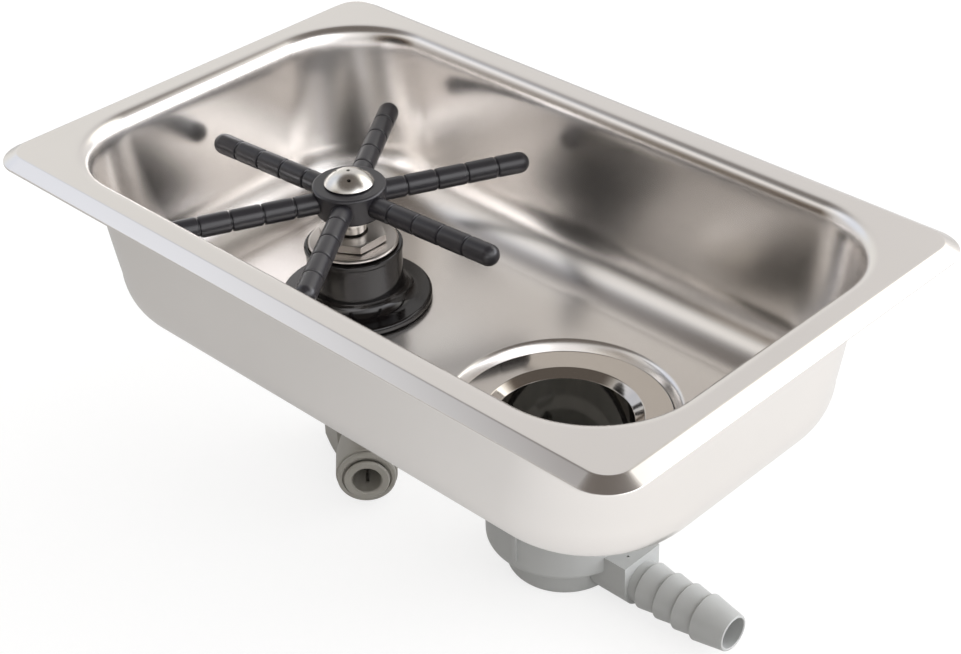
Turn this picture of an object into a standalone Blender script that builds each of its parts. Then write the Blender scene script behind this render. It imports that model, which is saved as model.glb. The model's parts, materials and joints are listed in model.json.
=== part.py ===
"""Pitcher rinser: a drop-in steel basin with a press-down spray star and a drain with a hose tail.

The origin lies on the surface that the rinser stands on, under the middle of the rim.
X runs along the basin from the star to the drain, and Z is up. Every length is in metres.
"""
import math

import bmesh
import bpy
from mathutils import Matrix, Vector

# Shared values
CLEAR = 0.0003              # gap between pieces that seat on each other
OVERRUN = 0.0020            # how far a cutter runs past the face that it opens
MERGE = 0.000001            # points closer than this are one point
SMOOTH_ANGLE = math.radians(38)
FULL_TURN = math.tau
QUARTER_TURN = math.tau / 4
BIG_STEPS = 36              # facets round the basin's and the drain's large circles
ROUND_STEPS = 24            # facets round the other turned pieces
SMALL_STEPS = 16            # facets round rings and small bores
TINY_STEPS = 8              # facets round drilled holes

# Basin
RIM_LENGTH = 0.2650         # over the turned-down skirt
RIM_WIDTH = 0.1624
RIM_HEIGHT = 0.1213         # top of the rim above the standing surface
BASIN_DEPTH = 0.0600        # top of the rim down to the floor
SHEET = 0.0008
LIP_HEIGHT = 0.0006         # upright edge under the sloping skirt
SKIRT_DROP = 0.0026
SKIRT_REACH = 0.0045
CREASE_ROUND = 0.0016
FLANGE_FLAT = 0.0049        # flat band between the skirt and the bend into the bowl
BEND_ROUND = 0.0052
WALL_DRAFT = 0.0020         # how far a wall leans in over its height
FLOOR_ROUND_ACROSS = 0.0158
FLOOR_ROUND_UP = 0.0267
OUTER_CORNER = 0.0120       # corner radius of the skirt in plan
BOWL_CORNER = 0.0308        # corner radius of the bowl's wall at its top
CORNER_GROWTH = 0.0060      # how much larger that radius is at the foot of the wall
CORNER_STEPS = 8
BEND_STEPS = 4
FLOOR_STEPS = 7

# Star valve: places
VALVE_X = -0.0503           # middle of the star and its valve along the basin

# Boot, its washer and the bonnet over it
BOOT_HEIGHT = 0.0214
BOOT_RADIUS = 0.0161
BOOT_BEAD = 0.0004          # how far the top bead stands out
BOOT_BEAD_HEIGHT = 0.0016
BOOT_FOOT_RADIUS = 0.0255
BOOT_FOOT_HEIGHT = 0.0026
BOOT_FOOT_ROUND = 0.0011
BOOT_COVE = 0.0046          # radius of the cove between the body and the foot
BOOT_WALL = 0.0030
BOOT_CROWN = 0.0045         # thickness of the boot's top
COVE_STEPS = 5
WASHER_RADIUS = 0.0152
WASHER_THICK = 0.0012
BONNET_FLATS = 0.0200
BONNET_HEX_HEIGHT = 0.0028
BONNET_CHAMFER = 0.0005
BONNET_SKIRT_RADIUS = 0.0070
BONNET_SKIRT_LENGTH = 0.0122
BONNET_WELL_DEPTH = 0.0046  # well that the stem's shoulder sinks into
GLAND_HEIGHT = 0.0024
O_RING_RADIUS = 0.0008      # section radius of the stem's seal ring

# Valve body and what clamps it to the floor
BODY_RADIUS = 0.0084
BODY_FIT = 0.0003           # radial room of a piece round the body
BODY_THREAD_DEPTH = 0.0128
CHAMBER_RADIUS = 0.0050
SEAT_RADIUS = 0.0042
SEAT_THICK = 0.0030
SPRING_BORE = 0.0064
FLOOR_SEAL_RADIUS = 0.0140
FLOOR_SEAL_THICK = 0.0020
FLOOR_WASHER_RADIUS = 0.0152
FLOOR_WASHER_THICK = 0.0015
LOCK_NUT_FLATS = 0.0270
LOCK_NUT_HEIGHT = 0.0060
LOCK_NUT_CHAMFER = 0.0008

# Star
HUB_RADIUS = 0.0123
HUB_FOOT_RADIUS = 0.0114
HUB_HEIGHT = 0.0102
HUB_ROUND = 0.0009
HUB_LIFT = 0.0077           # hub's underside above the bonnet when the star is up
ARM_COUNT = 6
ARM_TURN = math.radians(63.9)
ARM_RADIUS = 0.0036
ARM_ROOT = 0.0082           # where an arm starts, inside the hub
ARM_TIP_CENTRE = 0.0590     # middle of an arm's round end, from the hub's axis
ARM_BELOW_TOP = 0.0051      # arm axis below the hub's top
GROOVE_COUNT = 4
GROOVE_FIRST = 0.0190       # first ring groove, from the hub's axis
GROOVE_PITCH = 0.0106
GROOVE_WIDTH = 0.0008
GROOVE_DEPTH = 0.0003
ARM_STEPS = 10
TIP_STEPS = 4
NOZZLE_SOCKET_RADIUS = 0.0063
NOZZLE_SOCKET_DEPTH = 0.0068

# Spray nozzle
DOME_RADIUS = 0.0082
DOME_HEIGHT = 0.0041
DOME_EDGE = 0.0004
DOME_STEPS = 7
NOZZLE_SPIGOT_RADIUS = 0.0060
NOZZLE_SPIGOT_LENGTH = 0.0055
NOZZLE_ROOF = 0.0017        # metal over the nozzle's chamber
JET_RADIUS = 0.00060
JET_COUNT = 3
JET_TILT = math.radians(28)
JET_TURN = math.radians(-41)
NOZZLE_SEAL_THICK = 0.0009

# Plunger stem
STEM_SPIGOT_RADIUS = 0.0036
STEM_SPIGOT_FIT = 0.0003
STEM_SPIGOT_LENGTH = 0.0086
STEM_SHOULDER_RADIUS = 0.0047
STEM_SHOULDER_LENGTH = 0.0067
STEM_RADIUS = 0.0032
STEM_FIT = 0.0003
STEM_TIP_RADIUS = 0.0020
STEM_TIP_LENGTH = 0.0046
STEM_BORE_RADIUS = 0.0017
STEM_PORT_RADIUS = 0.0011
STEM_PORT_ABOVE_SEAT = 0.0050
SHOULDER_ROOM = 0.0005      # radial room of the shoulder in the bonnet's well

# Poppet and return spring
POPPET_RADIUS = 0.0055
POPPET_THICK = 0.0022
POPPET_SEAL_THICK = 0.0018
CLIP_RADIUS = 0.0034
CLIP_THICK = 0.0006
CLIP_GAP_TURN = math.radians(60)
SPRING_RADIUS = 0.0049      # to the middle of the wire
SPRING_WIRE = 0.0004        # radius of the wire
SPRING_TURNS = 7
SPRING_TURN_POINTS = 10
SPRING_LENGTH_SHARE = 0.312  # of the height from the spring's foot to the top of the valve body
SPRING_SEAT_THICK = 0.0014
SPRING_SEAT_BORE = 0.0032
SPRING_LEAST_GAP = 0.0004

# Inlet elbow
BARREL_FLATS = 0.0264
BARREL_TOP_SHARE = 0.434    # of the height from the socket's floor to the lock nut
BARREL_TURN = math.radians(5.6)
BARREL_FOOT_RADIUS = 0.0114
BARREL_CONE = 0.0023        # height of the cone that turns off the foot's corners
BARREL_TOP_CONE = 0.0012
SOCKET_ABOVE_LEG = 0.0105   # socket's floor above the axis of the leg
SOCKET_SEAL_THICK = 0.0014
WATERWAY_RADIUS = 0.0040
LEG_TURN = math.radians(-42.9)
LEG_RADIUS = 0.0084
LEG_TAPER_START = 0.0105    # from the barrel's axis
LEG_COLLAR_RADIUS = 0.0105
LEG_COLLAR_START = 0.0215
LEG_LENGTH = 0.0329
LEG_CHAMFER = 0.0006
TUBE_RADIUS = 0.00495       # bore for the inlet tube
TUBE_STOP = 0.0135
RING_ROOM_RADIUS = 0.0073
RING_ROOM_START = 0.0172
CAP_ROOM_RADIUS = 0.0089
CAP_ROOM_START = 0.0275
TUBE_RING_RADIUS = 0.0010
SPACER_THICK = 0.0012
CAP_INNER_RADIUS = 0.0071
CAP_RIM_RADIUS = 0.0100
CAP_RIM_THICK = 0.0018
CAP_RIM_CHAMFER = 0.0005
CAP_WELL_RADIUS = 0.0083    # shallow well that the collet's flange sinks into
CAP_WELL_DEPTH = 0.0009
COLLET_RADIUS = 0.0067
COLLET_FLANGE_RADIUS = 0.0077
COLLET_FLANGE_THICK = 0.0012
COLLET_TRAVEL = 0.0010
COLLET_LENGTH = 0.0128
COLLET_MOUTH = 0.0005       # how far the mouth flares
COLLET_SLOT_COUNT = 4
COLLET_SLOT_WIDTH = 0.0012
COLLET_SLOT_LENGTH = 0.0070
GRIP_RING_THICK = 0.0005
GRIP_RING_BORE = 0.0051

# Drain: recess in the floor and the steel flange in it
DRAIN_X = 0.0435
RECESS_RADIUS = 0.0378
RECESS_SLOPE = 0.0062
RECESS_STEPS = 6
TAIL_RADIUS = 0.0234
TAIL_BORE = 0.0222
TAIL_END_SHARE = 0.617      # of the cup's height, from the cup's underside
TAIL_FIT = 0.0005
FLANGE_TOP_DROP = 0.0027    # flange's top below the floor
FLANGE_THICK = 0.0010
FLANGE_DISH = 0.0004        # how far the flange sinks towards its throat
FLANGE_EDGE_ROOM = 0.0034   # rim of the flange inside the recess's top edge
FLANGE_EDGE_SLOPE = 0.0006
THROAT_ROUND = 0.0032
THROAT_STEPS = 5
UPPER_GASKET_THICK = 0.0010
UPPER_GASKET_SET_IN = 0.0066
LOWER_GASKET_RADIUS = 0.0310
LOWER_GASKET_THICK = 0.0020
BACK_NUT_RADIUS = 0.0315
BACK_NUT_HEIGHT = 0.0075
BACK_NUT_SIDES = 8
BACK_NUT_CHAMFER = 0.0010

# Drain body with its side outlet and hose tail
CUP_RADIUS = 0.0255
CUP_BELOW_NUT = 0.0014      # cup's top below the back nut
CUP_STEP_SHARE = 0.277      # of the height of the cup's top, up to the underside of the wide cup
CUP_STEP_ROUND = 0.0020
CUP_BORE_BELOW_SEAL = 0.0210
CUP_RIB_PROUD = 0.0007
CUP_RIB_ABOVE_STEP = 0.0043
CUP_RIB_BELOW_TOP = 0.0018
CUP_RIB_WIDTH = 0.0016
CUP_RIB_TURN_SHARES = (0.237, 0.5, 0.763)
CUP_SEAL_THICK = 0.0018
SUMP_RADIUS = 0.0200
SUMP_FOOT_RADIUS = 0.0190
SUMP_ROUND = 0.0028
SUMP_BORE = 0.0174
SUMP_FLOOR = 0.0022
OUTLET_Z = 0.0094           # axis of the outlet above the standing surface
OUTLET_BORE = 0.0052
BLOCK_HALF_WIDTH = 0.0083
BLOCK_TOP = 0.0096          # top of the block above the outlet's axis
BLOCK_END = 0.0328          # end of the block, from the drain's axis
BLOCK_START = 0.0185
BLOCK_ROUND_STEPS = 8
BARB_COUNT = 4
BARB_FIRST = 0.0366         # first ridge, from the drain's axis
BARB_PITCH = 0.0072
BARB_RADIUS = 0.0080
BARB_VALLEY = 0.0070
BARB_BACK = 0.0007          # length of a ridge's steep side
TAIL_TIP = 0.0692           # end of the hose tail, from the drain's axis
TAIL_TIP_RADIUS = 0.0061
TAIL_TIP_CHAMFER = 0.0004

# Places that follow from the sizes above
FLOOR_Z = RIM_HEIGHT - BASIN_DEPTH
FLOOR_UNDER_Z = FLOOR_Z - SHEET
BOOT_FOOT_Z = FLOOR_Z + CLEAR
BOOT_TOP_Z = BOOT_FOOT_Z + BOOT_HEIGHT
WASHER_Z = BOOT_TOP_Z + CLEAR
BONNET_Z = WASHER_Z + WASHER_THICK + CLEAR
BONNET_TOP_Z = BONNET_Z + BONNET_HEX_HEIGHT
HUB_Z = BONNET_TOP_Z + HUB_LIFT
HUB_TOP_Z = HUB_Z + HUB_HEIGHT
BODY_BORE = BODY_RADIUS + BODY_FIT
BODY_TOP_Z = BOOT_TOP_Z - CLEAR
CHAMBER_TOP_Z = BODY_TOP_Z - BODY_THREAD_DEPTH
LEG_Z = LEG_COLLAR_RADIUS + CLEAR
SOCKET_FLOOR_Z = LEG_Z + SOCKET_ABOVE_LEG
SOCKET_SEAL_Z = SOCKET_FLOOR_Z + CLEAR
BODY_END_Z = SOCKET_SEAL_Z + SOCKET_SEAL_THICK + CLEAR
SPRING_END_Z = BODY_END_Z + SPRING_SEAT_THICK + CLEAR
SPRING_TOP_Z = SPRING_END_Z + SPRING_LENGTH_SHARE * (BODY_TOP_Z - SPRING_END_Z)
POPPET_Z = SPRING_TOP_Z + CLEAR
POPPET_TOP_Z = POPPET_Z + POPPET_THICK
POPPET_SEAL_Z = POPPET_TOP_Z + CLEAR
SEAT_UNDER_Z = POPPET_SEAL_Z + POPPET_SEAL_THICK + CLEAR
CHAMBER_END_Z = SEAT_UNDER_Z + SEAT_THICK
FLOOR_SEAL_Z = FLOOR_UNDER_Z - CLEAR - FLOOR_SEAL_THICK
FLOOR_WASHER_Z = FLOOR_SEAL_Z - CLEAR - FLOOR_WASHER_THICK
LOCK_NUT_Z = FLOOR_WASHER_Z - CLEAR - LOCK_NUT_HEIGHT
BARREL_TOP_Z = SOCKET_FLOOR_Z + BARREL_TOP_SHARE * (LOCK_NUT_Z - SOCKET_FLOOR_Z)
CAP_FACE = LEG_LENGTH + CLEAR + CAP_RIM_THICK
COLLET_END = CAP_FACE - CAP_WELL_DEPTH + CLEAR + COLLET_TRAVEL + COLLET_FLANGE_THICK
FLANGE_TOP_Z = FLOOR_Z - FLANGE_TOP_DROP
UPPER_GASKET_Z = FLANGE_TOP_Z - FLANGE_THICK - FLANGE_DISH - CLEAR - UPPER_GASKET_THICK
RECESS_Z = UPPER_GASKET_Z - CLEAR
RECESS_DEPTH = FLOOR_Z - RECESS_Z
FLANGE_RADIUS = RECESS_RADIUS - FLANGE_EDGE_ROOM
TAIL_HOLE = TAIL_RADIUS + TAIL_FIT
LOWER_GASKET_Z = RECESS_Z - SHEET - CLEAR - LOWER_GASKET_THICK
BACK_NUT_Z = LOWER_GASKET_Z - CLEAR - BACK_NUT_HEIGHT
CUP_TOP_Z = BACK_NUT_Z - CUP_BELOW_NUT
CUP_STEP_Z = CUP_STEP_SHARE * CUP_TOP_Z
TAIL_END_Z = CUP_STEP_Z + TAIL_END_SHARE * (CUP_TOP_Z - CUP_STEP_Z)
CUP_SEAL_Z = TAIL_END_Z - CLEAR - CUP_SEAL_THICK
CUP_SHOULDER_Z = CUP_SEAL_Z - CLEAR


def clear_scene():
    for obj in list(bpy.data.objects):
        bpy.data.objects.remove(obj, do_unlink=True)


def make_material(name, colour, roughness, metallic):
    material = bpy.data.materials.new(name)
    material.use_nodes = True
    shader = material.node_tree.nodes["Principled BSDF"]
    shader.inputs["Base Color"].default_value = (*colour, 1.0)
    shader.inputs["Roughness"].default_value = roughness
    shader.inputs["Metallic"].default_value = metallic
    return material


def make_empty(name, location, turn=(0.0, 0.0, 0.0)):
    empty = bpy.data.objects.new(name, None)
    bpy.context.scene.collection.objects.link(empty)
    empty.location = location
    empty.rotation_euler = turn
    return empty


def place(name, bm, material, parent, height=0.0):
    """Turns a finished bmesh into a smooth-shaded object at a height on its parent's axis."""
    bmesh.ops.remove_doubles(bm, verts=bm.verts, dist=MERGE)
    bmesh.ops.recalc_face_normals(bm, faces=bm.faces)
    if bm.calc_volume(signed=True) < 0:
        bmesh.ops.reverse_faces(bm, faces=bm.faces)
    mesh = bpy.data.meshes.new(name)
    bm.to_mesh(mesh)
    bm.free()
    mesh.shade_smooth()
    mesh.set_sharp_from_angle(angle=SMOOTH_ANGLE)
    mesh.materials.append(material)
    obj = bpy.data.objects.new(name, mesh)
    bpy.context.scene.collection.objects.link(obj)
    obj.parent = parent
    obj.location = (0.0, 0.0, height)
    return obj


def hide_tool(obj):
    obj.hide_render = True
    obj.display_type = "WIRE"


def combine(obj, tool, operation):
    """Adds a Boolean whose tool is left out of the finished part."""
    hide_tool(tool)
    modifier = obj.modifiers.new(tool.name, "BOOLEAN")
    modifier.operation = operation
    modifier.object = tool


def spin_outline(bm, outline, steps):
    """Turns a closed outline of (radius, height) points about Z and returns the new points."""
    points = [bm.verts.new((radius, 0.0, height)) for radius, height in outline]
    edges = []
    for first, second in zip(points, points[1:] + points[:1]):
        if max(first.co.x, second.co.x) > MERGE:
            edges.append(bm.edges.new((first, second)))
    before = set(bm.verts) - set(points)
    bmesh.ops.spin(bm, geom=points + edges, axis=(0, 0, 1), cent=(0, 0, 0),
                   angle=FULL_TURN, steps=steps, use_merge=True)
    return [vert for vert in bm.verts if vert not in before]


def turned(name, outline, material, parent, height=0.0, steps=ROUND_STEPS):
    bm = bmesh.new()
    spin_outline(bm, outline, steps)
    return place(name, bm, material, parent, height)


def ring_outline(inner, outer, thick):
    return [(inner, 0.0), (outer, 0.0), (outer, thick), (inner, thick)]


def arc(centre, radius, start, end, steps):
    """Points on an arc in (radius, height) space, both ends included."""
    points = []
    for step in range(steps + 1):
        angle = start + (end - start) * step / steps
        points.append((centre[0] + radius * math.cos(angle), centre[1] + radius * math.sin(angle)))
    return points


def seal_ring(name, inner, section, material, parent, height):
    outline = arc((inner + section, 0.0), section, 0.0, FULL_TURN, TINY_STEPS)[:-1]
    return turned(name, outline, material, parent, height, SMALL_STEPS)


def rounded_corner(before, corner, after, radius, steps):
    """Points of the arc that rounds one corner of a line."""
    before, corner, after = Vector(before), Vector(corner), Vector(after)
    back = (before - corner).normalized()
    ahead = (after - corner).normalized()
    half_angle = back.angle(ahead) / 2
    centre = corner + (back + ahead).normalized() * (radius / math.sin(half_angle))
    first = (corner + back * (radius / math.tan(half_angle)) - centre).normalized()
    last = (corner + ahead * (radius / math.tan(half_angle)) - centre).normalized()
    return [tuple(centre + first.slerp(last, step / steps) * radius) for step in range(steps + 1)]


def offset_line(points, distance):
    """The line moved sideways, to the right of its direction, with mitred corners."""
    moved = []
    for index, point in enumerate(points):
        before = Vector(points[max(index - 1, 0)])
        after = Vector(points[min(index + 1, len(points) - 1)])
        here = Vector(point)
        sides = [(end - start).normalized() for start, end in ((before, here), (here, after))
                 if (end - start).length > MERGE]
        normals = [Vector((side.y, -side.x)) for side in sides]
        middle = (normals[0] + normals[-1]).normalized()
        moved.append(tuple(here + middle * (distance / middle.dot(normals[0]))))
    return moved


def prism(bm, sides, flats, height, turn=0.0):
    """Adds a straight prism with the given distance over its flats, standing on Z = 0."""
    corner = flats / 2 / math.cos(math.pi / sides)
    matrix = Matrix.Translation((0.0, 0.0, height / 2)) @ Matrix.Rotation(turn, 4, "Z")
    bmesh.ops.create_cone(bm, cap_ends=True, segments=sides, radius1=corner, radius2=corner,
                          depth=height, matrix=matrix)


def chamfered_nut(name, sides, flats, height, chamfer, material, parent, base, turn=0.0):
    """A prism whose top and bottom corners are turned off by a cone."""
    bm = bmesh.new()
    prism(bm, sides, flats, height, turn)
    nut = place(name, bm, material, parent, base)
    corner = flats / 2 / math.cos(math.pi / sides) + chamfer
    inner = flats / 2
    envelope = [(0.0, -MERGE), (inner, -MERGE), (corner, chamfer + chamfer),
                (corner, height - chamfer - chamfer), (inner, height + MERGE), (0.0, height + MERGE)]
    combine(nut, turned(name + "_envelope", envelope, material, parent, base), "INTERSECT")
    return nut


def bore(obj, name, radius, low, high, material, parent, steps=ROUND_STEPS):
    """Cuts a round hole between two heights on the parent's axis."""
    outline = [(0.0, low), (radius, low), (radius, high), (0.0, high)]
    combine(obj, turned(name, outline, material, parent, steps=steps), "DIFFERENCE")


def basin_profile():
    """Upper side of the sheet, from the lip to the foot of the floor's round, as (inset, height)."""
    lip = (0.0, -SKIRT_DROP - LIP_HEIGHT)
    skirt = (0.0, -SKIRT_DROP)
    crease = (SKIRT_REACH, 0.0)
    wall_top = (SKIRT_REACH + FLANGE_FLAT + BEND_ROUND, 0.0)
    wall_foot = (wall_top[0] + WALL_DRAFT, FLOOR_ROUND_UP - BASIN_DEPTH)
    points = [lip, skirt]
    points += rounded_corner(skirt, crease, wall_top, CREASE_ROUND, BEND_STEPS // 2)
    points += rounded_corner(crease, wall_top, wall_foot, BEND_ROUND, BEND_STEPS)
    for step in range(FLOOR_STEPS + 1):
        angle = QUARTER_TURN * step / FLOOR_STEPS
        points.append((wall_foot[0] + FLOOR_ROUND_ACROSS * (1 - math.cos(angle)),
                       wall_foot[1] - FLOOR_ROUND_UP * math.sin(angle)))
    return points


def plan_radius(inset, height):
    """Corner radius of the basin in plan, at a point of its profile."""
    bowl_inset = SKIRT_REACH + FLANGE_FLAT + BEND_ROUND
    if inset < SKIRT_REACH + FLANGE_FLAT / 2:
        return OUTER_CORNER - inset
    wall_share = min(-height / (BASIN_DEPTH - FLOOR_ROUND_UP), 1.0)
    return BOWL_CORNER + CORNER_GROWTH * wall_share - (inset - bowl_inset)


def rounded_loop(bm, inset, height, radius):
    """One closed loop of points round the basin."""
    centre_x = RIM_LENGTH / 2 - inset - radius
    centre_y = RIM_WIDTH / 2 - inset - radius
    loop = []
    for corner, (side_x, side_y) in enumerate(((1, 1), (-1, 1), (-1, -1), (1, -1))):
        for step in range(CORNER_STEPS + 1):
            angle = QUARTER_TURN * (corner + step / CORNER_STEPS)
            loop.append(bm.verts.new((side_x * centre_x + radius * math.cos(angle),
                                      side_y * centre_y + radius * math.sin(angle),
                                      RIM_HEIGHT + height)))
    return loop


def circle_loop(bm, centre_x, radius, height, steps):
    loop = []
    for step in range(steps):
        angle = FULL_TURN * step / steps
        loop.append(bm.verts.new((centre_x + radius * math.cos(angle), radius * math.sin(angle), height)))
    return loop


def join_loops(bm, loops):
    for first, second in zip(loops, loops[1:]):
        count = len(first)
        for index in range(count):
            following = (index + 1) % count
            bm.faces.new((first[index], first[following], second[following], second[index]))


def loop_edges(bm, loop):
    edges = []
    for first, second in zip(loop, loop[1:] + loop[:1]):
        edges.append(bm.edges.get((first, second)) or bm.edges.new((first, second)))
    return edges


def recess_profile():
    """Upper side of the drain's recess, from its top edge to the hole, as (radius, height)."""
    points = []
    for step in range(RECESS_STEPS + 1):
        share = step / RECESS_STEPS
        points.append((RECESS_RADIUS - RECESS_SLOPE * share,
                       -RECESS_DEPTH * (1 - math.cos(math.pi * share)) / 2))
    points.append((TAIL_HOLE, -RECESS_DEPTH))
    return points


def mirror_radius(points):
    return [(-radius, height) for radius, height in points]


def basin_skin(bm, profile, recess, floor_z):
    """One side of the sheet: rim, walls, floor and drain recess. Returns its three edge loops."""
    outer = [rounded_loop(bm, inset, height, plan_radius(inset, height)) for inset, height in profile]
    join_loops(bm, outer)
    drain = [circle_loop(bm, DRAIN_X, radius, FLOOR_Z + height, BIG_STEPS) for radius, height in recess]
    join_loops(bm, drain)
    valve = circle_loop(bm, VALVE_X, BODY_BORE, floor_z, ROUND_STEPS)
    floor_edges = loop_edges(bm, outer[-1]) + loop_edges(bm, drain[0]) + loop_edges(bm, valve)
    bmesh.ops.triangle_fill(bm, use_beauty=True, use_dissolve=False, edges=floor_edges)
    return outer[0], drain[-1], valve


def make_basin(steel, root):
    """A drawn sheet pan: both skins of the sheet, joined at the lip and at the two holes."""
    bm = bmesh.new()
    upper_profile = basin_profile()
    upper_recess = recess_profile()
    lower_profile = offset_line(upper_profile, SHEET)
    lower_recess = mirror_radius(offset_line(mirror_radius(upper_recess), SHEET))
    upper = basin_skin(bm, upper_profile, upper_recess, FLOOR_Z)
    lower = basin_skin(bm, lower_profile, lower_recess, FLOOR_UNDER_Z)
    for upper_loop, lower_loop in zip(upper, lower):
        join_loops(bm, [upper_loop, lower_loop])
    place("basin", bm, steel, root)


def make_boot(rubber, valve_axis):
    """The moulded boot round the valve body: crown bead, straight sides, cove and wide foot."""
    bead = BOOT_RADIUS + BOOT_BEAD
    cove_centre = (BOOT_RADIUS + BOOT_COVE, BOOT_FOOT_HEIGHT + BOOT_COVE)
    round_centre = BOOT_FOOT_RADIUS - BOOT_FOOT_ROUND
    outline = [(BODY_BORE, BOOT_HEIGHT), (bead - BOOT_BEAD, BOOT_HEIGHT),
               (bead, BOOT_HEIGHT - BOOT_BEAD), (bead, BOOT_HEIGHT - BOOT_BEAD_HEIGHT),
               (BOOT_RADIUS, BOOT_HEIGHT - BOOT_BEAD_HEIGHT - BOOT_BEAD)]
    outline += arc(cove_centre, BOOT_COVE, math.pi, math.pi + QUARTER_TURN, COVE_STEPS)
    outline += arc((round_centre, BOOT_FOOT_ROUND), BOOT_FOOT_ROUND, QUARTER_TURN, 0.0, COVE_STEPS // 2)
    cavity = BOOT_RADIUS - BOOT_WALL
    outline += [(BOOT_FOOT_RADIUS, 0.0), (cavity, 0.0), (cavity, BOOT_HEIGHT - BOOT_CROWN),
                (BODY_BORE, BOOT_HEIGHT - BOOT_CROWN)]
    turned("valve_boot", outline, rubber, valve_axis, BOOT_FOOT_Z)


def make_bonnet(steel, valve_axis):
    """The hexagon that closes the valve: a well for the stem's shoulder and a gland below it."""
    bonnet = chamfered_nut("valve_bonnet", 6, BONNET_FLATS, BONNET_HEX_HEIGHT, BONNET_CHAMFER,
                           steel, valve_axis, BONNET_Z)
    foot = BONNET_Z - BONNET_SKIRT_LENGTH
    skirt = [(0.0, foot), (BONNET_SKIRT_RADIUS, foot), (BONNET_SKIRT_RADIUS, BONNET_Z + CLEAR),
             (0.0, BONNET_Z + CLEAR)]
    combine(bonnet, turned("bonnet_skirt", skirt, steel, valve_axis), "UNION")
    guide = STEM_RADIUS + STEM_FIT
    well = STEM_SHOULDER_RADIUS + SHOULDER_ROOM
    well_floor = BONNET_TOP_Z - BONNET_WELL_DEPTH
    gland = STEM_RADIUS + O_RING_RADIUS + O_RING_RADIUS + CLEAR + CLEAR
    gland_low = gland_middle() - GLAND_HEIGHT / 2
    gland_high = gland_middle() + GLAND_HEIGHT / 2
    inside = [(0.0, foot - OVERRUN), (guide, foot - OVERRUN), (guide, gland_low), (gland, gland_low),
              (gland, gland_high), (guide, gland_high), (guide, well_floor), (well, well_floor),
              (well, BONNET_TOP_Z + OVERRUN), (0.0, BONNET_TOP_Z + OVERRUN)]
    combine(bonnet, turned("bonnet_inside", inside, steel, valve_axis), "DIFFERENCE")


def gland_middle():
    """Height of the middle of the bonnet's seal ring groove."""
    return (BONNET_TOP_Z - BONNET_WELL_DEPTH + BONNET_Z - BONNET_SKIRT_LENGTH) / 2


def make_valve_body(brass, valve_axis):
    """The threaded tube through the floor: bonnet thread, water chamber, seat and spring bore."""
    top = BODY_TOP_Z
    thread = BONNET_SKIRT_RADIUS + CLEAR
    outline = [(BODY_RADIUS, BODY_END_Z), (BODY_RADIUS, top), (thread, top), (thread, CHAMBER_TOP_Z),
               (CHAMBER_RADIUS, CHAMBER_TOP_Z), (CHAMBER_RADIUS, CHAMBER_END_Z),
               (SEAT_RADIUS, CHAMBER_END_Z), (SEAT_RADIUS, SEAT_UNDER_Z),
               (SPRING_BORE, SEAT_UNDER_Z), (SPRING_BORE, BODY_END_Z)]
    turned("valve_body", outline, brass, valve_axis)


def make_floor_clamp(rubber, steel, valve_axis):
    """Seal, washer and lock nut that hold the valve body under the floor."""
    turned("floor_seal", ring_outline(BODY_BORE, FLOOR_SEAL_RADIUS, FLOOR_SEAL_THICK), rubber,
           valve_axis, FLOOR_SEAL_Z)
    turned("floor_washer", ring_outline(BODY_BORE, FLOOR_WASHER_RADIUS, FLOOR_WASHER_THICK), steel,
           valve_axis, FLOOR_WASHER_Z)
    nut = chamfered_nut("lock_nut", 6, LOCK_NUT_FLATS, LOCK_NUT_HEIGHT, LOCK_NUT_CHAMFER, steel,
                        valve_axis, LOCK_NUT_Z)
    bore(nut, "lock_nut_bore", BODY_BORE, LOCK_NUT_Z - OVERRUN, LOCK_NUT_Z + LOCK_NUT_HEIGHT + OVERRUN,
         steel, valve_axis)


def arm_outline():
    """Half section of one arm along Z: ring grooves and a round end."""
    outline = [(0.0, ARM_ROOT), (ARM_RADIUS, ARM_ROOT)]
    for index in range(GROOVE_COUNT):
        middle = GROOVE_FIRST + GROOVE_PITCH * index
        outline += [(ARM_RADIUS, middle - GROOVE_WIDTH / 2), (ARM_RADIUS - GROOVE_DEPTH, middle),
                    (ARM_RADIUS, middle + GROOVE_WIDTH / 2)]
    return outline + arc((0.0, ARM_TIP_CENTRE), ARM_RADIUS, 0.0, QUARTER_TURN, TIP_STEPS)


def make_star(plastic, plunger_axis):
    """The moulded star: a tapered hub with six round arms that end in half balls."""
    outline = [(STEM_SPIGOT_RADIUS + STEM_SPIGOT_FIT, 0.0)]
    outline += arc((HUB_FOOT_RADIUS - HUB_ROUND, HUB_ROUND), HUB_ROUND, -QUARTER_TURN, 0.0, 2)
    top = HUB_HEIGHT
    outline += arc((HUB_RADIUS - HUB_ROUND, top - HUB_ROUND), HUB_ROUND, 0.0, QUARTER_TURN, 2)
    socket_floor = top - NOZZLE_SOCKET_DEPTH
    outline += [(NOZZLE_SOCKET_RADIUS, top), (NOZZLE_SOCKET_RADIUS, socket_floor),
                (STEM_SPIGOT_RADIUS + STEM_SPIGOT_FIT, socket_floor)]
    star = turned("star", outline, plastic, plunger_axis, HUB_Z)
    bm = bmesh.new()
    for index in range(ARM_COUNT):
        points = spin_outline(bm, arm_outline(), ARM_STEPS)
        turn = ARM_TURN + FULL_TURN * index / ARM_COUNT
        matrix = (Matrix.Translation((0.0, 0.0, HUB_HEIGHT - ARM_BELOW_TOP))
                  @ Matrix.Rotation(turn, 4, "Z") @ Matrix.Rotation(QUARTER_TURN, 4, "Y"))
        bmesh.ops.transform(bm, matrix=matrix, verts=points)
    combine(star, place("star_arms", bm, plastic, plunger_axis, HUB_Z), "UNION")


def dome_radius_of_curve():
    return (DOME_RADIUS ** 2 + DOME_HEIGHT ** 2) / (2 * DOME_HEIGHT)


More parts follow.
